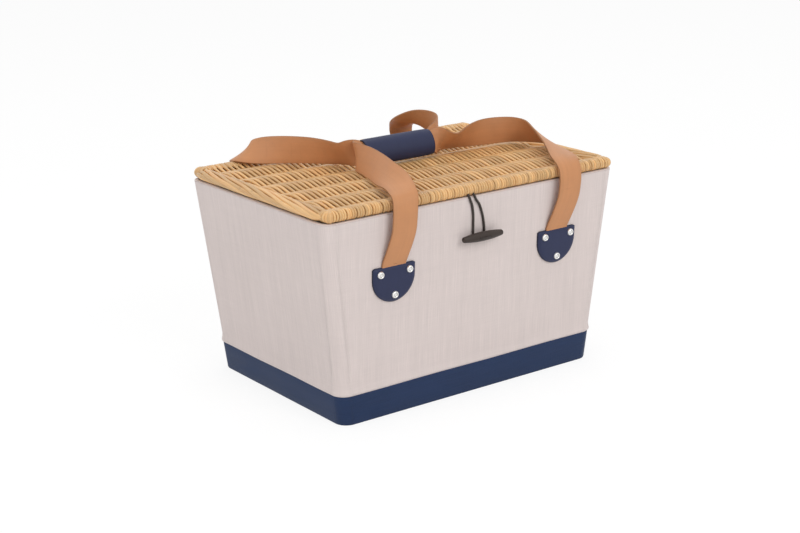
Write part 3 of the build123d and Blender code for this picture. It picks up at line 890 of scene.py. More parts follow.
# ---- the lid's borders ----
def make_rods():
    """The border rods, which end under the bound corners."""
    for name in ("front_border_rod", "back_border_rod"):
        _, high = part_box(name)
        middle, radius = middle_of(name), half_high(name)
        reach = high.x - 13 * MM
        points = [(x, middle.y, middle.z) for x in np.linspace(-reach, reach, 90)]
        radii = [radius * min(1.0, 0.55 + 0.45 * (reach - abs(x)) / (2 * MM)) for x, _, _ in points]
        rod = strands(f"{name}_willow", [(points, radii, 0.4)], 16)
        wear(rod, "willow")
        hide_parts(name)
        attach(rod, "lid")


def make_roll(hand, side, draw):
    """A side border: strands rolled round a core, smaller and tucked in towards the corners."""
    sizes = bpy.context.scene.basket_lid
    low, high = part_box(f"{hand}_border")
    centre = middle_of(f"{hand}_border")
    broad = (high.x - low.x) / 2 - sizes.rope
    deep = (high.z - low.z) / 2 - sizes.rope
    reach = high.y - 10.5 * MM
    tapered = 16 * MM
    strand_count = 9
    routes = []
    for number in range(strand_count):
        points, radii = [], []
        wobble = draw.uniform(0, 6)
        size = draw.uniform(0.9, 1.04)
        for y in np.linspace(-reach, reach, 60):
            tuck = max(0.0, (abs(y) - (reach - tapered)) / tapered)
            angle = 2 * pi * (number / strand_count + side * y / sizes.rope_pitch)
            angle += 0.07 * sin(y * 70 + wobble)
            x = centre.x + broad * cos(angle) * (1 - 0.16 * tuck) - side * 2 * MM * tuck**2
            z = centre.z + deep * sin(angle) * (1 - 0.55 * tuck)
            points.append((x, y, z))
            radii.append(sizes.rope * size * (1 - 0.42 * tuck))
        routes.append((points, radii, draw.random()))
    for shift in (-5.2, -1.8, 1.8, 5.2):
        points = [(centre.x + shift * MM, y, centre.z) for y in np.linspace(-reach, reach, 12)]
        routes.append((points, [sizes.rope * 0.75] * len(points), draw.uniform(0, 0.3)))
    rope = strands(f"{hand}_border_roll", routes, 10)
    wear(rope, "willow")
    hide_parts(f"{hand}_border")
    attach(rope, "lid")


def corner_fan(corner, side, end, draw):
    """Strands bound over a corner's edge, spread like a fan."""
    sizes = bpy.context.scene.basket_lid
    wrap = 3.6 * MM + sizes.binding
    routes = []
    for degrees in (12, 30, 48, 66, 82, 96, 108, 118):
        out = Vector((side * sin(radians(degrees)), end * cos(radians(degrees)), 0))
        root = corner - Vector((0, end * max(0, degrees - 60) * 0.13 * MM, 0))
        stretch = wrap * (0.94 + 0.0062 * degrees)
        points = [root - out * 9 * MM + Vector((0, 0, wrap - 1.8 * MM))]
        points.append(root - out * 4 * MM + Vector((0, 0, wrap - 0.2 * MM)))
        for angle in range(90, -91, -15):
            turn = radians(angle)
            points.append(root + out * stretch * cos(turn) + Vector((0, 0, wrap * sin(turn))))
        points.append(root - out * 6 * MM + Vector((0, 0, -wrap + 0.6 * MM)))
        routes.append((points, [sizes.binding * draw.uniform(0.95, 1.08)] * len(points), draw.random()))
    return routes


def corner_rings(edge, outer, side, end, level, height, draw):
    """Strands wound round the side border beside a corner."""
    binding = bpy.context.scene.basket_lid.binding
    routes = []
    for number in range(2):
        x = edge + side * (2.2 + 3.75 * number) * MM
        half = (24.5 - 1.1 * number) / 2 * MM
        slant = draw.uniform(-0.9, 0.9) * MM
        points = []
        for step in range(27):
            angle = 2 * pi * step / 24 + 1.2
            flat = abs(cos(angle)) ** 0.75 * (1 if cos(angle) > 0 else -1)
            tall = abs(sin(angle)) ** 0.75 * (1 if sin(angle) > 0 else -1)
            spread = slant * cos(angle) + 0.1 * MM * step / 24
            y = outer - end * half + end * (half - binding) * flat
            points.append((x + spread, y, level + (height - binding) * tall))
        radius = binding * draw.uniform(0.92, 1.0)
        routes.append((points, [radius] * len(points), draw.random()))
    return routes


def make_borders():
    """The border rods, the rolled side borders, and the strands bound round the lid's corners."""
    make_rods()
    draw = random.Random(5)
    for hand, side in (("left", -1), ("right", 1)):
        make_roll(hand, side, draw)
        low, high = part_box(f"{hand}_border")
        centre = middle_of(f"{hand}_border")
        outside = (high.x - low.x + 2 * abs(centre.x)) / 2
        inner_edge = low.x if side > 0 else high.x
        routes = []
        for end in (-1, 1):
            outer = end * high.y
            corner = Vector((side * (outside - 14 * MM), outer - end * 7.5 * MM, centre.z))
            routes += corner_fan(corner, side, end, draw)
            routes += corner_rings(inner_edge, outer, side, end, centre.z, (high.z - low.z) / 2, draw)
        binding = strands(f"{hand}_corner_bindings", routes, 8)
        wear(binding, "willow")
        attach(binding, "lid")


# ---- ribbons of leather ----
def smooth_route(stations, steps, passes):
    """A smooth run of spots and crossways through a strap's stations, which keeps its ends."""
    values = np.array([[*spot, *across, width, thick] for spot, across, width, thick in stations], float)
    padded = np.vstack([2 * values[0] - values[1], values, 2 * values[-1] - values[-2]])
    run = []
    for row in range(1, len(padded) - 2):
        before, start, end, after = padded[row - 1 : row + 3]
        linear_part = end - before
        square_part = 2 * before - 5 * start + 4 * end - after
        cube_part = 3 * start - before - 3 * end + after
        for part in np.arange(0, 1, 1 / steps):
            run.append(0.5 * (2 * start + linear_part * part + square_part * part**2 + cube_part * part**3))
    run = np.array([*run, values[-1]])
    for _ in range(passes):
        inner = 0.25 * run[:-2] + 0.5 * run[1:-1] + 0.25 * run[2:]
        run = np.vstack([run[:1], inner, run[-1:]])
    return run


def strap_section(width, thick):
    """A strap's cross-section: each spot's place across and off the middle, and how near the cut edge."""
    half, deep, edge = width / 2, thick / 2, 0.7 * MM
    side = [(half, 0.3 * deep, 1), (half - edge * 0.5, 0.85 * deep, 0.7), (half - edge * 1.6, deep, 0.15)]
    outer = [(-across, lift, rim) for across, lift, rim in side]
    outer += [(-half * 0.6, deep, 0), (0, deep, 0), (half * 0.6, deep, 0)]
    outer += side[::-1]
    inner = [(across, -lift, rim) for across, lift, rim in side] + [(0, -deep, 0)]
    inner += [(-across, -lift, rim) for across, lift, rim in side[::-1]]
    return [inner.pop(), *outer, *inner]


def ribbon(name, stations, steps=6, passes=4):
    """A leather strap through its stations, with rounded edges."""
    run = smooth_route(stations, steps, passes)
    spots = run[:, :3]
    along, travelled = measured(spots)
    vertices, rims = [], []
    for spot, way, across, width, thick in zip(spots, along, run[:, 3:6], run[:, 6], run[:, 7]):
        across = squared(across, way)
        face = np.cross(across, way)
        section = strap_section(width, thick)
        for side, lift, rim in section:
            vertices.append((spot + across * side + face * lift).tolist())
            rims.append(rim)
    around = [0.0]
    for (a, b, _), (c, d, _) in zip(section, section[1:] + section[:1]):
        around.append(around[-1] + ((a - c) ** 2 + (b - d) ** 2) ** 0.5)
    faces, corners = sleeve(0, around, travelled)
    piece = built(name, vertices, faces, corners + [(0.0, 0.0)] * (2 * len(section)))
    stored(piece, "rim", rims)
    return smoothed(outward(piece), 45)


LID_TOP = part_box("willow_weave")[1].z
GRIP_LEAN = radians(25)
GRIP_UP = Vector((0, sin(GRIP_LEAN), cos(GRIP_LEAN)))
GRIP_OUT = Vector((0, cos(GRIP_LEAN), -sin(GRIP_LEAN)))
GRIP_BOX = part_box("grip_wrap")
GRIP_CENTRE = Vector((0, 0.013, LID_TOP + 0.0172))
GRIP_HALF = (GRIP_BOX[1].x - GRIP_BOX[0].x) / 2
GRIP_TALL = 17.5 * MM
GRIP_DEEP = 11 * MM

# A strap's stations: shares of the patches' half pitch, of the strap's reach and, above the lid, of
# half the strap's width, and the way across the strap.
FRONT_LEFT_RISE = [
    (-0.93, -1.0, -0.667, (1, 0, 0)),
    (-0.91, -0.975, 0.111, (1, 0, 0.1)),
    (-0.88, -0.9, 0.556, (1, 0, 0.2)),
    (-0.83, -0.77, 0.861, (1, 0, 0.5)),
    (-0.78, -0.6, 0.972, (1, 0, 1)),
    (-0.69, -0.39, 1.011, (0.7, 0, 1)),
    (-0.62, -0.19, 1.022, (0.45, 0, 1)),
    (-0.6, -0.06, 1.022, (0.25, 0.1, 1)),
    (-0.56, 0.015, 1.017, (0, 0.3, 1)),
    (-0.49, 0.06, 1.0, (0, 0.4, 1)),
]
FRONT_RIGHT_FALL = [
    (0.5, 0.07, 0.95, (0, 0.1, 1)),
    (0.58, 0.058, 0.84, (0, -0.6, 0.8)),
    (0.69, 0.052, 0.76, (0, -0.72, 0.7)),
    (0.83, 0.052, 0.93, (0, -0.48, 0.88)),
    (0.98, 0.052, 1.02, (0, -0.2, 0.98)),
    (1.12, 0.048, 1.04, (0, 0, 1)),
    (1.27, 0.03, 1.03, (-0.05, 0, 1)),
    (1.42, -0.036, 1.022, (-0.2, -0.1, 1)),
    (1.5, -0.15, 0.944, (-0.5, -0.1, 1)),
    (1.49, -0.29, 0.861, (-1, -0.1, 0.9)),
    (1.43, -0.45, 0.722, (-1, 0, 0.55)),
    (1.33, -0.63, 0.611, (-1, 0, 0.3)),
    (1.22, -0.78, 0.556, (-1, 0, 0.12)),
    (1.13, -0.9, 0.417, (-1, 0, 0)),
    (1.1, -0.975, 0.0, (-1, 0, 0)),
    (1.09, -1.0, -0.667, (-1, 0, 0)),
]
BACK_RIGHT_RISE = [
    (0.93, 1.0, -0.667, (-1, 0, 0)),
    (0.9, 0.975, 0.111, (-1, 0, 0.05)),
    (0.84, 0.9, 0.62, (-1, 0, 0.1)),
    (0.74, 0.78, 1.1, (-1, 0, 0.25)),
    (0.69, 0.63, 1.5, (-1, 0, 0.6)),
    (0.69, 0.49, 1.72, (-0.7, 0, 1)),
    (0.7, 0.36, 1.7, (-0.3, 0, 1)),
    (0.68, 0.26, 1.53, (0, 0.1, 1)),
    (0.61, 0.17, 1.28, (0, 0.2, 1)),
    (0.52, 0.115, 1.1, (0, 0.35, 1)),
]
BACK_LEFT_FALL = [
    (-0.5, 0.12, 1.0, (0, -0.1, 1)),
    (-0.57, 0.2, 0.86, (0, -0.72, 0.7)),
    (-0.66, 0.3, 0.93, (0, -0.5, 0.85)),
    (-0.77, 0.41, 1.0, (0, -0.2, 0.98)),
    (-0.9, 0.53, 1.0, (0.05, -0.05, 1)),
    (-1.02, 0.64, 0.93, (0.25, 0, 0.95)),
    (-1.12, 0.75, 0.8, (0.5, 0.15, 0.85)),
    (-1.185, 0.85, 0.62, (0.75, 0.2, 0.6)),
    (-1.17, 0.925, 0.36, (0.95, 0.1, 0.3)),
    (-1.12, 0.98, 0.0, (1, 0, 0)),
    (-1.09, 1.0, -0.667, (1, 0, 0)),
]
# A leg's stations: how far it has risen from patch to top, its share of the outset, its shift along X.
LEG_STATIONS = {
    "left": [(0.4, 0.45, 0.004), (0.75, 0.8, 0.008), (1.0, 0.96, 0.0085)],
    "right": [(0.4, 0.45, 0.005), (0.75, 0.8, 0.010), (1.0, 0.96, 0.011)],
}
PATCH_TOP = 0.195
LEG_TOP = 0.25


def strap_leg(hand, turn):
    """A leg's stations, from its tail under the patch upwards; turn is -1 on the back."""
    sizes = bpy.context.scene.basket_straps
    side = -1 if hand == "left" else 1
    start = on_wall(1, side * sizes.patch_pitch / 2, PATCH_TOP)
    rest = 0.15 * MM + sizes.thickness / 2
    tail = [(-40, 0), (-15, 0), (0, 0), (4, 0.9)]
    spots = [start @ Vector((0, up * MM, rest + out * MM)) for up, out in tail]
    for rise, share, shift in LEG_STATIONS[hand]:
        height = PATCH_TOP + (LEG_TOP - PATCH_TOP) * rise
        clear = half_width(height) + 0.3 * MM + sizes.thickness / 2
        x = side * sizes.patch_pitch / 2 + shift
        spots.append(Vector((x, -clear - (sizes.reach - clear) * share, height)))
    places = [(turn * spot.x, turn * spot.y, spot.z) for spot in spots]
    return [(place, (turn, 0, 0), sizes.width, sizes.thickness) for place in places]


def loop_stations(shares):
    """Stations over the lid, in metres."""
    sizes = bpy.context.scene.basket_straps
    made = []
    for x, y, above, across in shares:
        spot = (x * sizes.patch_pitch / 2, y * sizes.reach, LID_TOP + above * sizes.width / 2)
        made.append((spot, tuple(Vector(across).normalized()), sizes.width, sizes.thickness))
    return made


def in_grip(layer):
    """Where a strap crosses the grip, squeezed on its front or back side, from one end to the other."""
    spot = GRIP_CENTRE + GRIP_OUT * layer * 2.05 * MM
    shares = (-0.92, -0.4, 0.4, 0.92) if layer < 0 else (0.92, 0.4, -0.4, -0.92)
    squeezed = (26.5 * MM, 3.3 * MM)
    return [((share * GRIP_HALF, spot.y, spot.z), tuple(GRIP_UP), *squeezed) for share in shares]


def flipped(stations):
    """The same stations with the strap's other edge named first."""
    return [(spot, tuple(-part for part in across), *size) for spot, across, *size in stations]


def make_straps():
    """The two carrying straps, each one strip of leather from patch to patch."""
    for name, turn, rise, fall in (
        ("front", 1, FRONT_LEFT_RISE, FRONT_RIGHT_FALL),
        ("back", -1, BACK_RIGHT_RISE, BACK_LEFT_FALL),
    ):
        down = flipped(strap_leg("right", turn))[::-1]
        route = strap_leg("left", turn) + loop_stations(rise) + in_grip(-turn) + loop_stations(fall) + down
        strap = ribbon(f"{name}_strap_leather", route)
        wear(strap, "tan")
        legs = [f"{name}_{hand}_strap_leg" for hand in ("left", "right")]
        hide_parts(f"{name}_strap", *legs)
        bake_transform(strap)


# ---- patches ----
# Each patch's name, the wall it is on and its side there.
PATCHES = (("front_left", 1, -1), ("front_right", 1, 1), ("back_left", -1, 1), ("back_right", -1, -1))
# How far each row of the patch's domed face draws in and rises, in millimetres.
PATCH_DOME = (
    (0.35, 0.4), (0.5, 0.35), (0.8, 0.55), (0.9, 0.5), (0.9, 0.35), (1.0, 0.2), (2.5, 0.1), (4.0, 0.05),
)
# A rivet's head from its middle out: radius, rise, and 1 in its pressed ring, which the nickel finish darkens
# as painted shade.
RIVET_HEAD = (
    (0.0, 1.75, 1), (1.95, 1.78, 1), (2.3, 2.0, 0.8), (2.7, 2.5, 0), (3.3, 2.65, 0),
    (4.0, 2.2, 0), (4.5, 1.3, 0), (4.7, 0.5, 0), (4.75, 0.0, 0),
)


def patch_blank(name):
    """A D-shaped patch at the origin, its straight edge along +X, of thick leather with a domed face."""
    low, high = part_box("front_left_patch")
    half = (high.x - low.x) / 2
    drop = bpy.context.scene.basket_straps.patch_height
    shoulder = drop - half
    deselect()
    at_origin = {"location": (0, 0, 0)}
    bpy.ops.mesh.primitive_circle_add(vertices=80, radius=half, fill_type="NGON", **at_origin)
    patch = started(name)
    for vertex in patch.data.vertices:
        x, y = vertex.co.x / half, vertex.co.y / half
        reach = min(half / max(abs(x), 1e-6), shoulder / y) if y > 1e-6 else half
        vertex.co = (x * reach, y * reach - shoulder, 0.05 * MM)
    bpy.ops.object.mode_set(mode="EDIT")
    bpy.ops.mesh.select_mode(type="FACE")
    bpy.ops.mesh.select_all(action="SELECT")
    bpy.ops.mesh.extrude_region_move(TRANSFORM_OT_translate={"value": (0, 0, 2.1 * MM)})
    for inset, rise in PATCH_DOME:
        bpy.ops.mesh.extrude_region_move(TRANSFORM_OT_translate={"value": (0, 0, rise * MM)})
        bpy.ops.transform.resize(
            value=(1 - inset * MM / half, 1 - inset * MM * 2 / drop, 1), center_override=(0, -drop / 2, 0)
        )
    bpy.ops.object.mode_set(mode="OBJECT")
    outward(patch)
    rises = [(vertex.co.z - 2.0 * MM) / (0.9 * MM) for vertex in patch.data.vertices]
    rims = [1.0 - min(1.0, max(0.0, rise)) for rise in rises]
    stored(patch, "rim", rims)
    charted(patch, lambda spot, face: (spot.x + spot.z, spot.y + spot.z))
    return patch


def make_patches():
    """The four patches, each copied from one and laid on its wall."""
    sizes = bpy.context.scene.basket_straps
    blank = patch_blank("patch_blank")
    for name, turn, side in PATCHES:
        patch = blank.copy()
        patch.data = blank.data.copy()
        patch.name = patch.data.name = f"{name}_patch_leather"
        bpy.context.scene.collection.objects.link(patch)
        patch.data.transform(on_wall(turn, side * sizes.patch_pitch / 2, PATCH_TOP))
        wear(smoothed(patch, 35), "navy")
        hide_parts(f"{name}_patch")
        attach(patch, "tub")
    bpy.data.objects.remove(blank, do_unlink=True)


def make_rivet_faces():
    """The pressed ring on each patch rivet's head, lathed once and copied, with the ring marked for painted
    shade.
    """
    sizes = bpy.context.scene.basket_straps
    turns = 32
    vertices = [(0, 0, RIVET_HEAD[0][1] * MM)]
    # The third column marks the pressed ring, where the nickel finish paints shade.
    painted_ring_shade = [RIVET_HEAD[0][2]]
    for radius, rise, middle in RIVET_HEAD[1:]:
        for turn in np.linspace(0, 2 * pi, turns, endpoint=False):
            vertices.append((radius * MM * cos(turn), radius * MM * sin(turn), rise * MM))
            painted_ring_shade.append(middle)
    faces = [(0, 1 + side, 1 + (side + 1) % turns) for side in range(turns)]
    for row in range(len(RIVET_HEAD) - 2):
        low, high = 1 + row * turns, 1 + (row + 1) * turns
        for side in range(turns):
            after = (side + 1) % turns
            faces.append((low + side, high + side, high + after, low + after))
    corners = [vertices[corner][:2] for face in faces for corner in face]
    low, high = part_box("front_left_patch")
    apart = (high.x - low.x - 20 * MM) / 2
    for name, turn, side in PATCHES:
        wall = on_wall(turn, side * sizes.patch_pitch / 2, PATCH_TOP)
        rings, shell, count = [], [], 0
        for x, y in ((-apart, -8 * MM), (apart, -8 * MM), (0, -36.5 * MM)):
            place = wall @ Matrix.Translation((x, y, 4.62 * MM))
            rings += [tuple(place @ Vector(vertex)) for vertex in vertices]
            shell += [tuple(corner + count for corner in face) for face in faces]
            count += len(vertices)
        piece = built(f"{name}_rivet_rings", rings, shell, corners * 3)
        stored(piece, "rim", painted_ring_shade * 3)
        wear(smoothed(piece, 60), "nickel")
        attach(piece, "tub")


# ---- grip ----
def oval(name, columns, half_tall, half_deep, half_long, filled):
    """An oval tube or rod along the grip, standing at the grip's lean."""
    deselect()
    fill = "NGON" if filled else "NOTHING"
    bpy.ops.mesh.primitive_cylinder_add(
        vertices=columns, radius=1, depth=2, end_fill_type=fill, rotation=(0, 0, 0), location=(0, 0, 0)
    )
    tube = started(name)
    for vertex in tube.data.vertices:
        x, y, z = vertex.co
        along = Vector((z * half_long, 0, 0))
        vertex.co = GRIP_CENTRE + along + GRIP_UP * (y * half_tall) + GRIP_OUT * (x * half_deep)
    return outward(tube)


def make_wrap():
    """The leather wrap round both straps, one sheet with a slit below."""
    wrap = oval("grip_leather", 72, GRIP_TALL, GRIP_DEEP, GRIP_HALF, False)
    bpy.ops.object.mode_set(mode="EDIT")

    def at_slit(face):
        spot = face.calc_center_median() - GRIP_CENTRE
        return spot.dot(GRIP_UP) < -GRIP_TALL * 0.99 and abs(spot.dot(GRIP_OUT)) < 1.0 * MM

    choose(wrap, "FACE", at_slit)
    bpy.ops.mesh.delete(type="FACE")
    for share in (-0.985, -0.96, -0.9, -0.8, -0.6, -0.35, -0.1, 0.15, 0.4, 0.62, 0.8, 0.9, 0.96, 0.985):
        bpy.ops.mesh.select_all(action="SELECT")
        bpy.ops.mesh.bisect(plane_co=(share * GRIP_HALF, 0, 0), plane_no=(1, 0, 0))
    bpy.ops.object.mode_set(mode="OBJECT")
    for vertex in wrap.data.vertices:
        spot = vertex.co - GRIP_CENTRE
        share = abs(spot.x) / GRIP_HALF
        high, deep = spot.dot(GRIP_UP), spot.dot(GRIP_OUT)
        pinch = 0.02 * (1 - share**4) - 0.035 * max(0.0, share - 0.9) * 10
        ripple = 0.008 * sin(spot.x * 150 + high * 160) * share
        vertex.co += (GRIP_UP * high + GRIP_OUT * deep) * (pinch + ripple)
    ends = [(abs(vertex.co.x) / GRIP_HALF - 0.97) / 0.03 for vertex in wrap.data.vertices]
    stored(wrap, "rim", [max(0.0, end) for end in ends])

    def round_the_grip(spot, face):
        spot = spot - GRIP_CENTRE
        return spot.x, atan2(spot.dot(GRIP_OUT), spot.dot(GRIP_UP)) * 15 * MM

    charted(wrap, round_the_grip)
    modified(wrap, "SOLIDIFY", thickness=2.2 * MM, offset=-1)
    modified(wrap, "BEVEL", width=0.5 * MM, segments=2, limit_method="ANGLE", angle_limit=radians(50))
    wear(smoothed(wrap, 40), "navy")
    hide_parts("grip_wrap", "grip_flap")
    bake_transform(wrap)


def make_felt():
    """The felt in the grip, either side of the straps."""
    skin = 2.6 * MM
    for name, body, side in (("front_padding", "front_handle", -1), ("back_padding", "grip_flap", 1)):
        pad = oval(f"{name}_felt", 48, GRIP_TALL - skin, GRIP_DEEP - skin, GRIP_HALF - 0.8 * MM, True)
        cut = GRIP_CENTRE + GRIP_OUT * side * 4.2 * MM
        bpy.ops.object.mode_set(mode="EDIT")
        bpy.ops.mesh.select_all(action="SELECT")
        bpy.ops.mesh.bisect(plane_co=cut, plane_no=GRIP_OUT * side, use_fill=True, clear_inner=True)
        bpy.ops.object.mode_set(mode="OBJECT")
        modified(pad, "BEVEL", width=0.7 * MM, segments=2, limit_method="ANGLE", angle_limit=radians(50))
        wear(smoothed(pad, 40), "felt")
        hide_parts(name)
        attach(pad, body)


# ---- toggle, thread and closing loop ----
def twisted(name, spots, radius, plies, turn_length, body, node):
    """A twisted cord along a smooth line of spots."""
    stations = [(tuple(spot), (0, 0, 1), radius, radius) for spot in spots]
    line = smooth_route(stations, 14, 6)[:, :3]
    _, travelled = measured(line)
    even = np.arange(0, travelled[-1], 0.7 * MM)
    line = np.stack([np.interp(even, travelled, line[:, axis]) for axis in range(3)], axis=1)
    along, _ = measured(line)
    across = np.cross(along[0], (0.2, 0.9, 0.3))
    frames = []
    for way in along:
        across = squared(across, way)
        frames.append((across, np.cross(way, across)))
    routes = []
    for ply in range(plies):
        points = []
        for spot, gone, (side, up) in zip(line, even, frames):
            angle = 2 * pi * (ply / plies + gone / turn_length)
            points.append(spot + radius * 0.46 * (side * cos(angle) + up * sin(angle)))
        routes.append((points, [radius * 0.56] * len(points), 0.3 + 0.2 * ply))
    cord = strands(name, routes, 7)
    wear(cord, "cord")
    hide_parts(node)
    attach(cord, body)
    return cord


# The thread's spots, in millimetres, from its knot inside the wall through the toggle to its middle.
THREAD = [
    (0, 0, -9.5), (0.9, 0.3, -4), (0.9, 0.2, 1), (2.4, 0.1, 3), (6, 0, 3.6),
    (7.5, 0, 6), (7.5, 0, 12), (7.3, 0, 15.2), (4.5, 0, 16.6), (0, 0, 17),
]


def make_thread():
    """The waxed thread that carries the toggle, with its knot inside the wall."""
    wall = on_wall(1, 0, 0.21)
    spots = THREAD + [(-x, -y, z) for x, y, z in reversed(THREAD[:-1])]
    spots = [wall @ (Vector(spot) * MM) for spot in spots]
    twisted("toggle_thread_cord", spots, 1.1 * MM, 2, 5 * MM, "toggle", "toggle_thread")
    deselect()
    bpy.ops.mesh.primitive_ico_sphere_add(subdivisions=3, radius=4 * MM, location=(0, 0, 0))
    ball = started("toggle_thread_knot")
    for vertex in ball.data.vertices:
        lobes = 1 + 0.08 * sin(vertex.co.x * 900 + vertex.co.z * 500) * cos(vertex.co.y * 700)
        vertex.co = wall @ (vertex.co * lobes + Vector((0, 0, -9.5 * MM)))
    charted(ball, lambda spot, face: (spot.x * 100, spot.z))
    stored(ball, "shade", [0.5] * len(ball.data.vertices))
    wear(smoothed(ball, 60), "cord")
    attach(ball, "toggle")


# The closing loop's places down the front wall and up again: across and height, in millimetres.
LOOP_ON_WALL = (
    (-14.6, 255.5), (-11.9, 249), (-9.6, 236), (-9.2, 222), (-8.6, 210.5), (-4.5, 205.5), (0, 204.6),
    (4.5, 205.5), (8.4, 210.5), (7.9, 222), (4.6, 236), (-0.6, 249), (-5.6, 255.5),
)


def make_loop():
    """The closing loop, which hangs from the lid's front edge and lies on the wall."""
    _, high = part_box("closure_loop")
    start_y, start_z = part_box("front_border_rod")[0].y - 1.5 * MM, high.z - 1.5 * MM
    bend_y, bend_z = start_y - 2.6 * MM, start_z - 3.4 * MM
    spots = [Vector((-16 * MM, start_y, start_z)), Vector((-16.2 * MM, bend_y, bend_z))]
    for x, z in LOOP_ON_WALL:
        spots.append(Vector((x * MM, -half_width(z * MM) - 1.9 * MM, z * MM)))
    spots += [Vector((-7.9 * MM, bend_y, bend_z)), Vector((-8.2 * MM, start_y, start_z))]
    twisted("closing_loop_cord", spots, 1.65 * MM, 3, 7 * MM, "closure_loop", "closure_loop")


def make_hinge_tabs():
    """The leather tabs that go round the lid's back rod and down inside the tub."""
    centre = middle_of("back_border_rod")
    ring = half_high("back_border_rod") + 1.05 * MM
    for hand in ("left", "right"):
        low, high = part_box(f"{hand}_hinge_tab")
        x = (low.x + high.x) / 2
        foot = on_wall(-1, -x, 0.22)
        spots = [tuple(foot @ Vector((0, up * MM, -6.3 * MM))) for up in (0.5, 12, 24, 34)]
        for angle in (*range(255, -76, -30), -92):
            turn = radians(angle)
            spots.append((x, centre.y + ring * cos(turn), centre.z + ring * sin(turn)))
        stations = [(spot, (1, 0, 0), high.x - low.x, 2 * MM) for spot in spots]
        tab = ribbon(f"{hand}_hinge_tab_leather", stations, 4, 1)
        wear(tab, "tan")
        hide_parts(f"{hand}_hinge_tab")
        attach(tab, "tub")


def dress_frame():
    """Finishes for the frame's own rods, boards, rivets and toggle bar."""
    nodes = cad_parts
    groups = {
        "rod": [f"stake_{number}" for number in range(1, 6)],
        "board": [f"{side}_board" for side in ("front", "back", "left", "right", "base")],
        "underside": ["base_sheet"],
        "nickel": [name for name in nodes if name.endswith("rivets")],
        "horn": ["toggle_bar"],
    }
    for key, names in groups.items():
        for name in names:
            wear(nodes[name], key)


# ---- stage ----
def soft_lamp(name, spot, aim, size, power):
    """A soft square lamp turned to a point."""
    deselect()
    bpy.ops.object.light_add(type="AREA", location=spot)
    lamp = bpy.context.object
    lamp.name = name
    lamp.data.shape = "SQUARE"
    lamp.data.size = size
    lamp.data.energy = power
    lamp.rotation_euler = (Vector(aim) - Vector(spot)).to_track_quat("-Z", "Y").to_euler()


def make_camera():
    """A camera that looks down at the basket's front left corner."""
    azimuth, elevation, roll = radians(-36.37), radians(16.66), radians(-0.93)
    distance, aim = 2.1252, Vector((-0.00818, 0, 0.1344))
    back = Vector((sin(azimuth) * cos(elevation), -cos(azimuth) * cos(elevation), sin(elevation)))
    right = (-back).cross(Vector((0, 0, 1))).normalized()
    up = right.cross(-back)
    turned_right = right * cos(roll) + up * sin(roll)
    turned_up = up * cos(roll) - right * sin(roll)
    place = Matrix((turned_right, turned_up, back)).transposed().to_4x4()
    place.translation = aim + back * distance
    deselect()
    bpy.ops.object.camera_add()
    camera = bpy.context.object
    camera.name = "viewpoint"
    camera.data.sensor_width = 36
    camera.data.lens = 72.27
    camera.data.clip_end = 60
    camera.matrix_world = place
    bpy.context.scene.camera = camera


def make_surroundings():
    """A world that looks white and lights the basket more softly."""
    world = Finish("studio", "worlds")
    seen = world.rays("Is Camera Ray", "Is Transmission Ray", "Is Glossy Ray")
    strength = world.node("ShaderNodeMapRange", {}, {0: seen, 3: WORLD_LIGHT, 4: 1.0})
    backdrop = world.node("ShaderNodeBackground", {}, {"Color": (1, 1, 1, 1), "Strength": strength})
    world.node("ShaderNodeOutputWorld", {}, {"Surface": backdrop})
    bpy.context.scene.world = world.owner


def make_floor():
    """A pale floor just under the basket, which keeps the basket's shadow."""
    deselect()
    bpy.ops.mesh.primitive_plane_add(size=16, location=(0, 0, -0.2 * MM))
    floor = started("floor")
    finish = Finish("pale_floor")
    share = finish.rays("Is Camera Ray", "Is Glossy Ray") * 0.8
    paper = finish.node("ShaderNodeBsdfDiffuse", {}, {"Color": (0.9, 0.9, 0.9, 1)})
    glow = finish.node("ShaderNodeEmission", {}, {"Color": (1, 1, 1, 1), "Strength": 1.06})
    blended = finish.node("ShaderNodeMixShader", {}, {0: share, 1: paper, 2: glow})
    finish.node("ShaderNodeOutputMaterial", {}, {"Surface": blended})
    floor.data.materials.append(finish.owner)


def make_stage():
    """Camera, lamps, white surroundings and floor."""
    bpy.context.scene.view_settings.view_transform = "Standard"
    make_camera()
    make_surroundings()
    soft_lamp("key", (0.1, -2.8, 2.0), (0, 0, 0.12), 1.6, 29)
    soft_lamp("fill", (-2.8, -0.1, 1.5), (0, 0, 0.12), 1.8, 13)
    soft_lamp("top", (0.5, 0.6, 3.0), (0, 0, 0.2), 2.0, 16)
    make_floor()


# ---- operators and panel ----
class BASKET_OT_stage(bpy.types.Operator):
    """Camera, lamps and floor"""

    bl_idname = "basket.stage"
    bl_label = "Stage"

    def execute(self, context):
        make_stage()
        return {"FINISHED"}


class BASKET_OT_tub(bpy.types.Operator):
    """Canvas, band, lining and rim"""

    bl_idname = "basket.tub"
    bl_label = "Tub"

    def execute(self, context):
        make_canvas()
        make_band()
        make_lining()
        make_rim()
        make_piping()
        return {"FINISHED"}


class BASKET_OT_weave(bpy.types.Operator):
    """The lid's woven field"""

    bl_idname = "basket.weave"
    bl_label = "Lid weave"

    def execute(self, context):
        make_weave()
        return {"FINISHED"}


class BASKET_OT_borders(bpy.types.Operator):
    """The lid's rolled borders and bound corners"""

    bl_idname = "basket.borders"
    bl_label = "Lid borders"

    def execute(self, context):
        make_borders()
        return {"FINISHED"}


class BASKET_OT_straps(bpy.types.Operator):
    """The two carrying straps"""

    bl_idname = "basket.straps"
    bl_label = "Straps"

    def execute(self, context):
        make_straps()
        return {"FINISHED"}


class BASKET_OT_patches(bpy.types.Operator):
    """The patches that hold the straps"""

    bl_idname = "basket.patches"
    bl_label = "Patches"

    def execute(self, context):
        make_patches()
        make_rivet_faces()
        return {"FINISHED"}


class BASKET_OT_grip(bpy.types.Operator):
    """The grip's leather wrap and felt"""

    bl_idname = "basket.grip"
    bl_label = "Grip"

    def execute(self, context):
        make_wrap()
        make_felt()
        return {"FINISHED"}


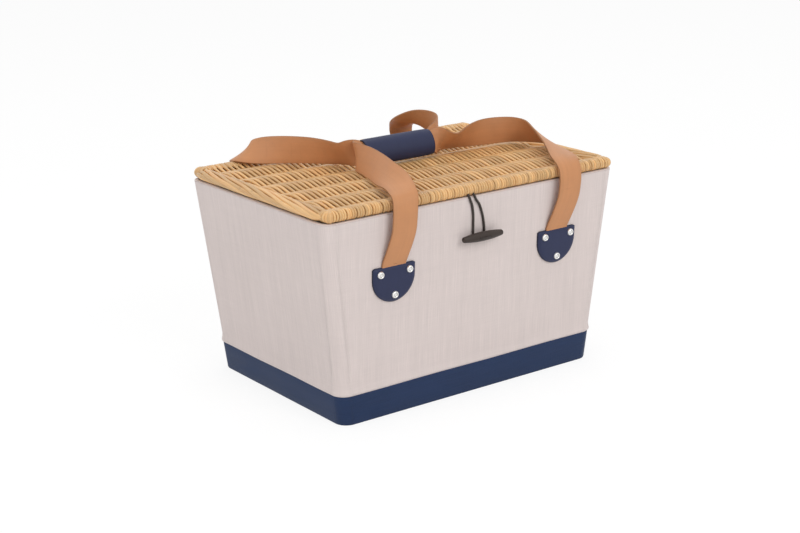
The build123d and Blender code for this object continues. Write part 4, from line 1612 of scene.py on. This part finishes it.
class BASKET_OT_closure(bpy.types.Operator):
    """The toggle's thread and the closing loop"""

    bl_idname = "basket.closure"
    bl_label = "Closing loop"

    def execute(self, context):
        make_thread()
        make_loop()
        return {"FINISHED"}


class BASKET_OT_hinge_tabs(bpy.types.Operator):
    """The leather hinge tabs"""

    bl_idname = "basket.hinge_tabs"
    bl_label = "Hinge tabs"

    def execute(self, context):
        make_hinge_tabs()
        return {"FINISHED"}


class BASKET_OT_frame_finishes(bpy.types.Operator):
    """Finishes for rods, boards, rivets and toggle bar"""

    bl_idname = "basket.frame_finishes"
    bl_label = "Frame finishes"

    def execute(self, context):
        dress_frame()
        return {"FINISHED"}


OPERATORS = (
    BASKET_OT_stage,
    BASKET_OT_tub,
    BASKET_OT_weave,
    BASKET_OT_borders,
    BASKET_OT_straps,
    BASKET_OT_patches,
    BASKET_OT_grip,
    BASKET_OT_closure,
    BASKET_OT_hinge_tabs,
    BASKET_OT_frame_finishes,
)


class BASKET_PT_panel(bpy.types.Panel):
    """Lists the basket's sizes, colours and operators"""

    bl_idname = "BASKET_PT_panel"
    bl_label = "Picnic basket"
    bl_space_type = "VIEW_3D"
    bl_region_type = "UI"
    bl_category = "Basket"

    def draw(self, context):
        for group in ("basket_tub", "basket_lid", "basket_straps", "basket_colours"):
            sizes = getattr(context.scene, group)
            for key in sizes.__annotations__:
                self.layout.prop(sizes, key)
        for operator in OPERATORS:
            self.layout.operator(operator.bl_idname)


GROUPS = {
    "basket_tub": TubSizes,
    "basket_lid": LidSizes,
    "basket_straps": StrapSizes,
    "basket_colours": Colours,
}


def register():
    for name, group in GROUPS.items():
        bpy.utils.register_class(group)
        setattr(bpy.types.Scene, name, bpy.props.PointerProperty(type=group))
    for kind in (*OPERATORS, BASKET_PT_panel):
        bpy.utils.register_class(kind)


def unregister():
    for kind in (BASKET_PT_panel, *reversed(OPERATORS)):
        bpy.utils.unregister_class(kind)
    for name, group in GROUPS.items():
        delattr(bpy.types.Scene, name)
        bpy.utils.unregister_class(group)


def main():
    """Register, then build the stage and every piece."""
    register()
    bpy.ops.basket.stage()
    bpy.ops.basket.tub()
    bpy.ops.basket.weave()
    bpy.ops.basket.borders()
    bpy.ops.basket.straps()
    bpy.ops.basket.patches()
    bpy.ops.basket.grip()
    bpy.ops.basket.closure()
    bpy.ops.basket.hinge_tabs()
    bpy.ops.basket.frame_finishes()


if __name__ == "__main__":
    main()
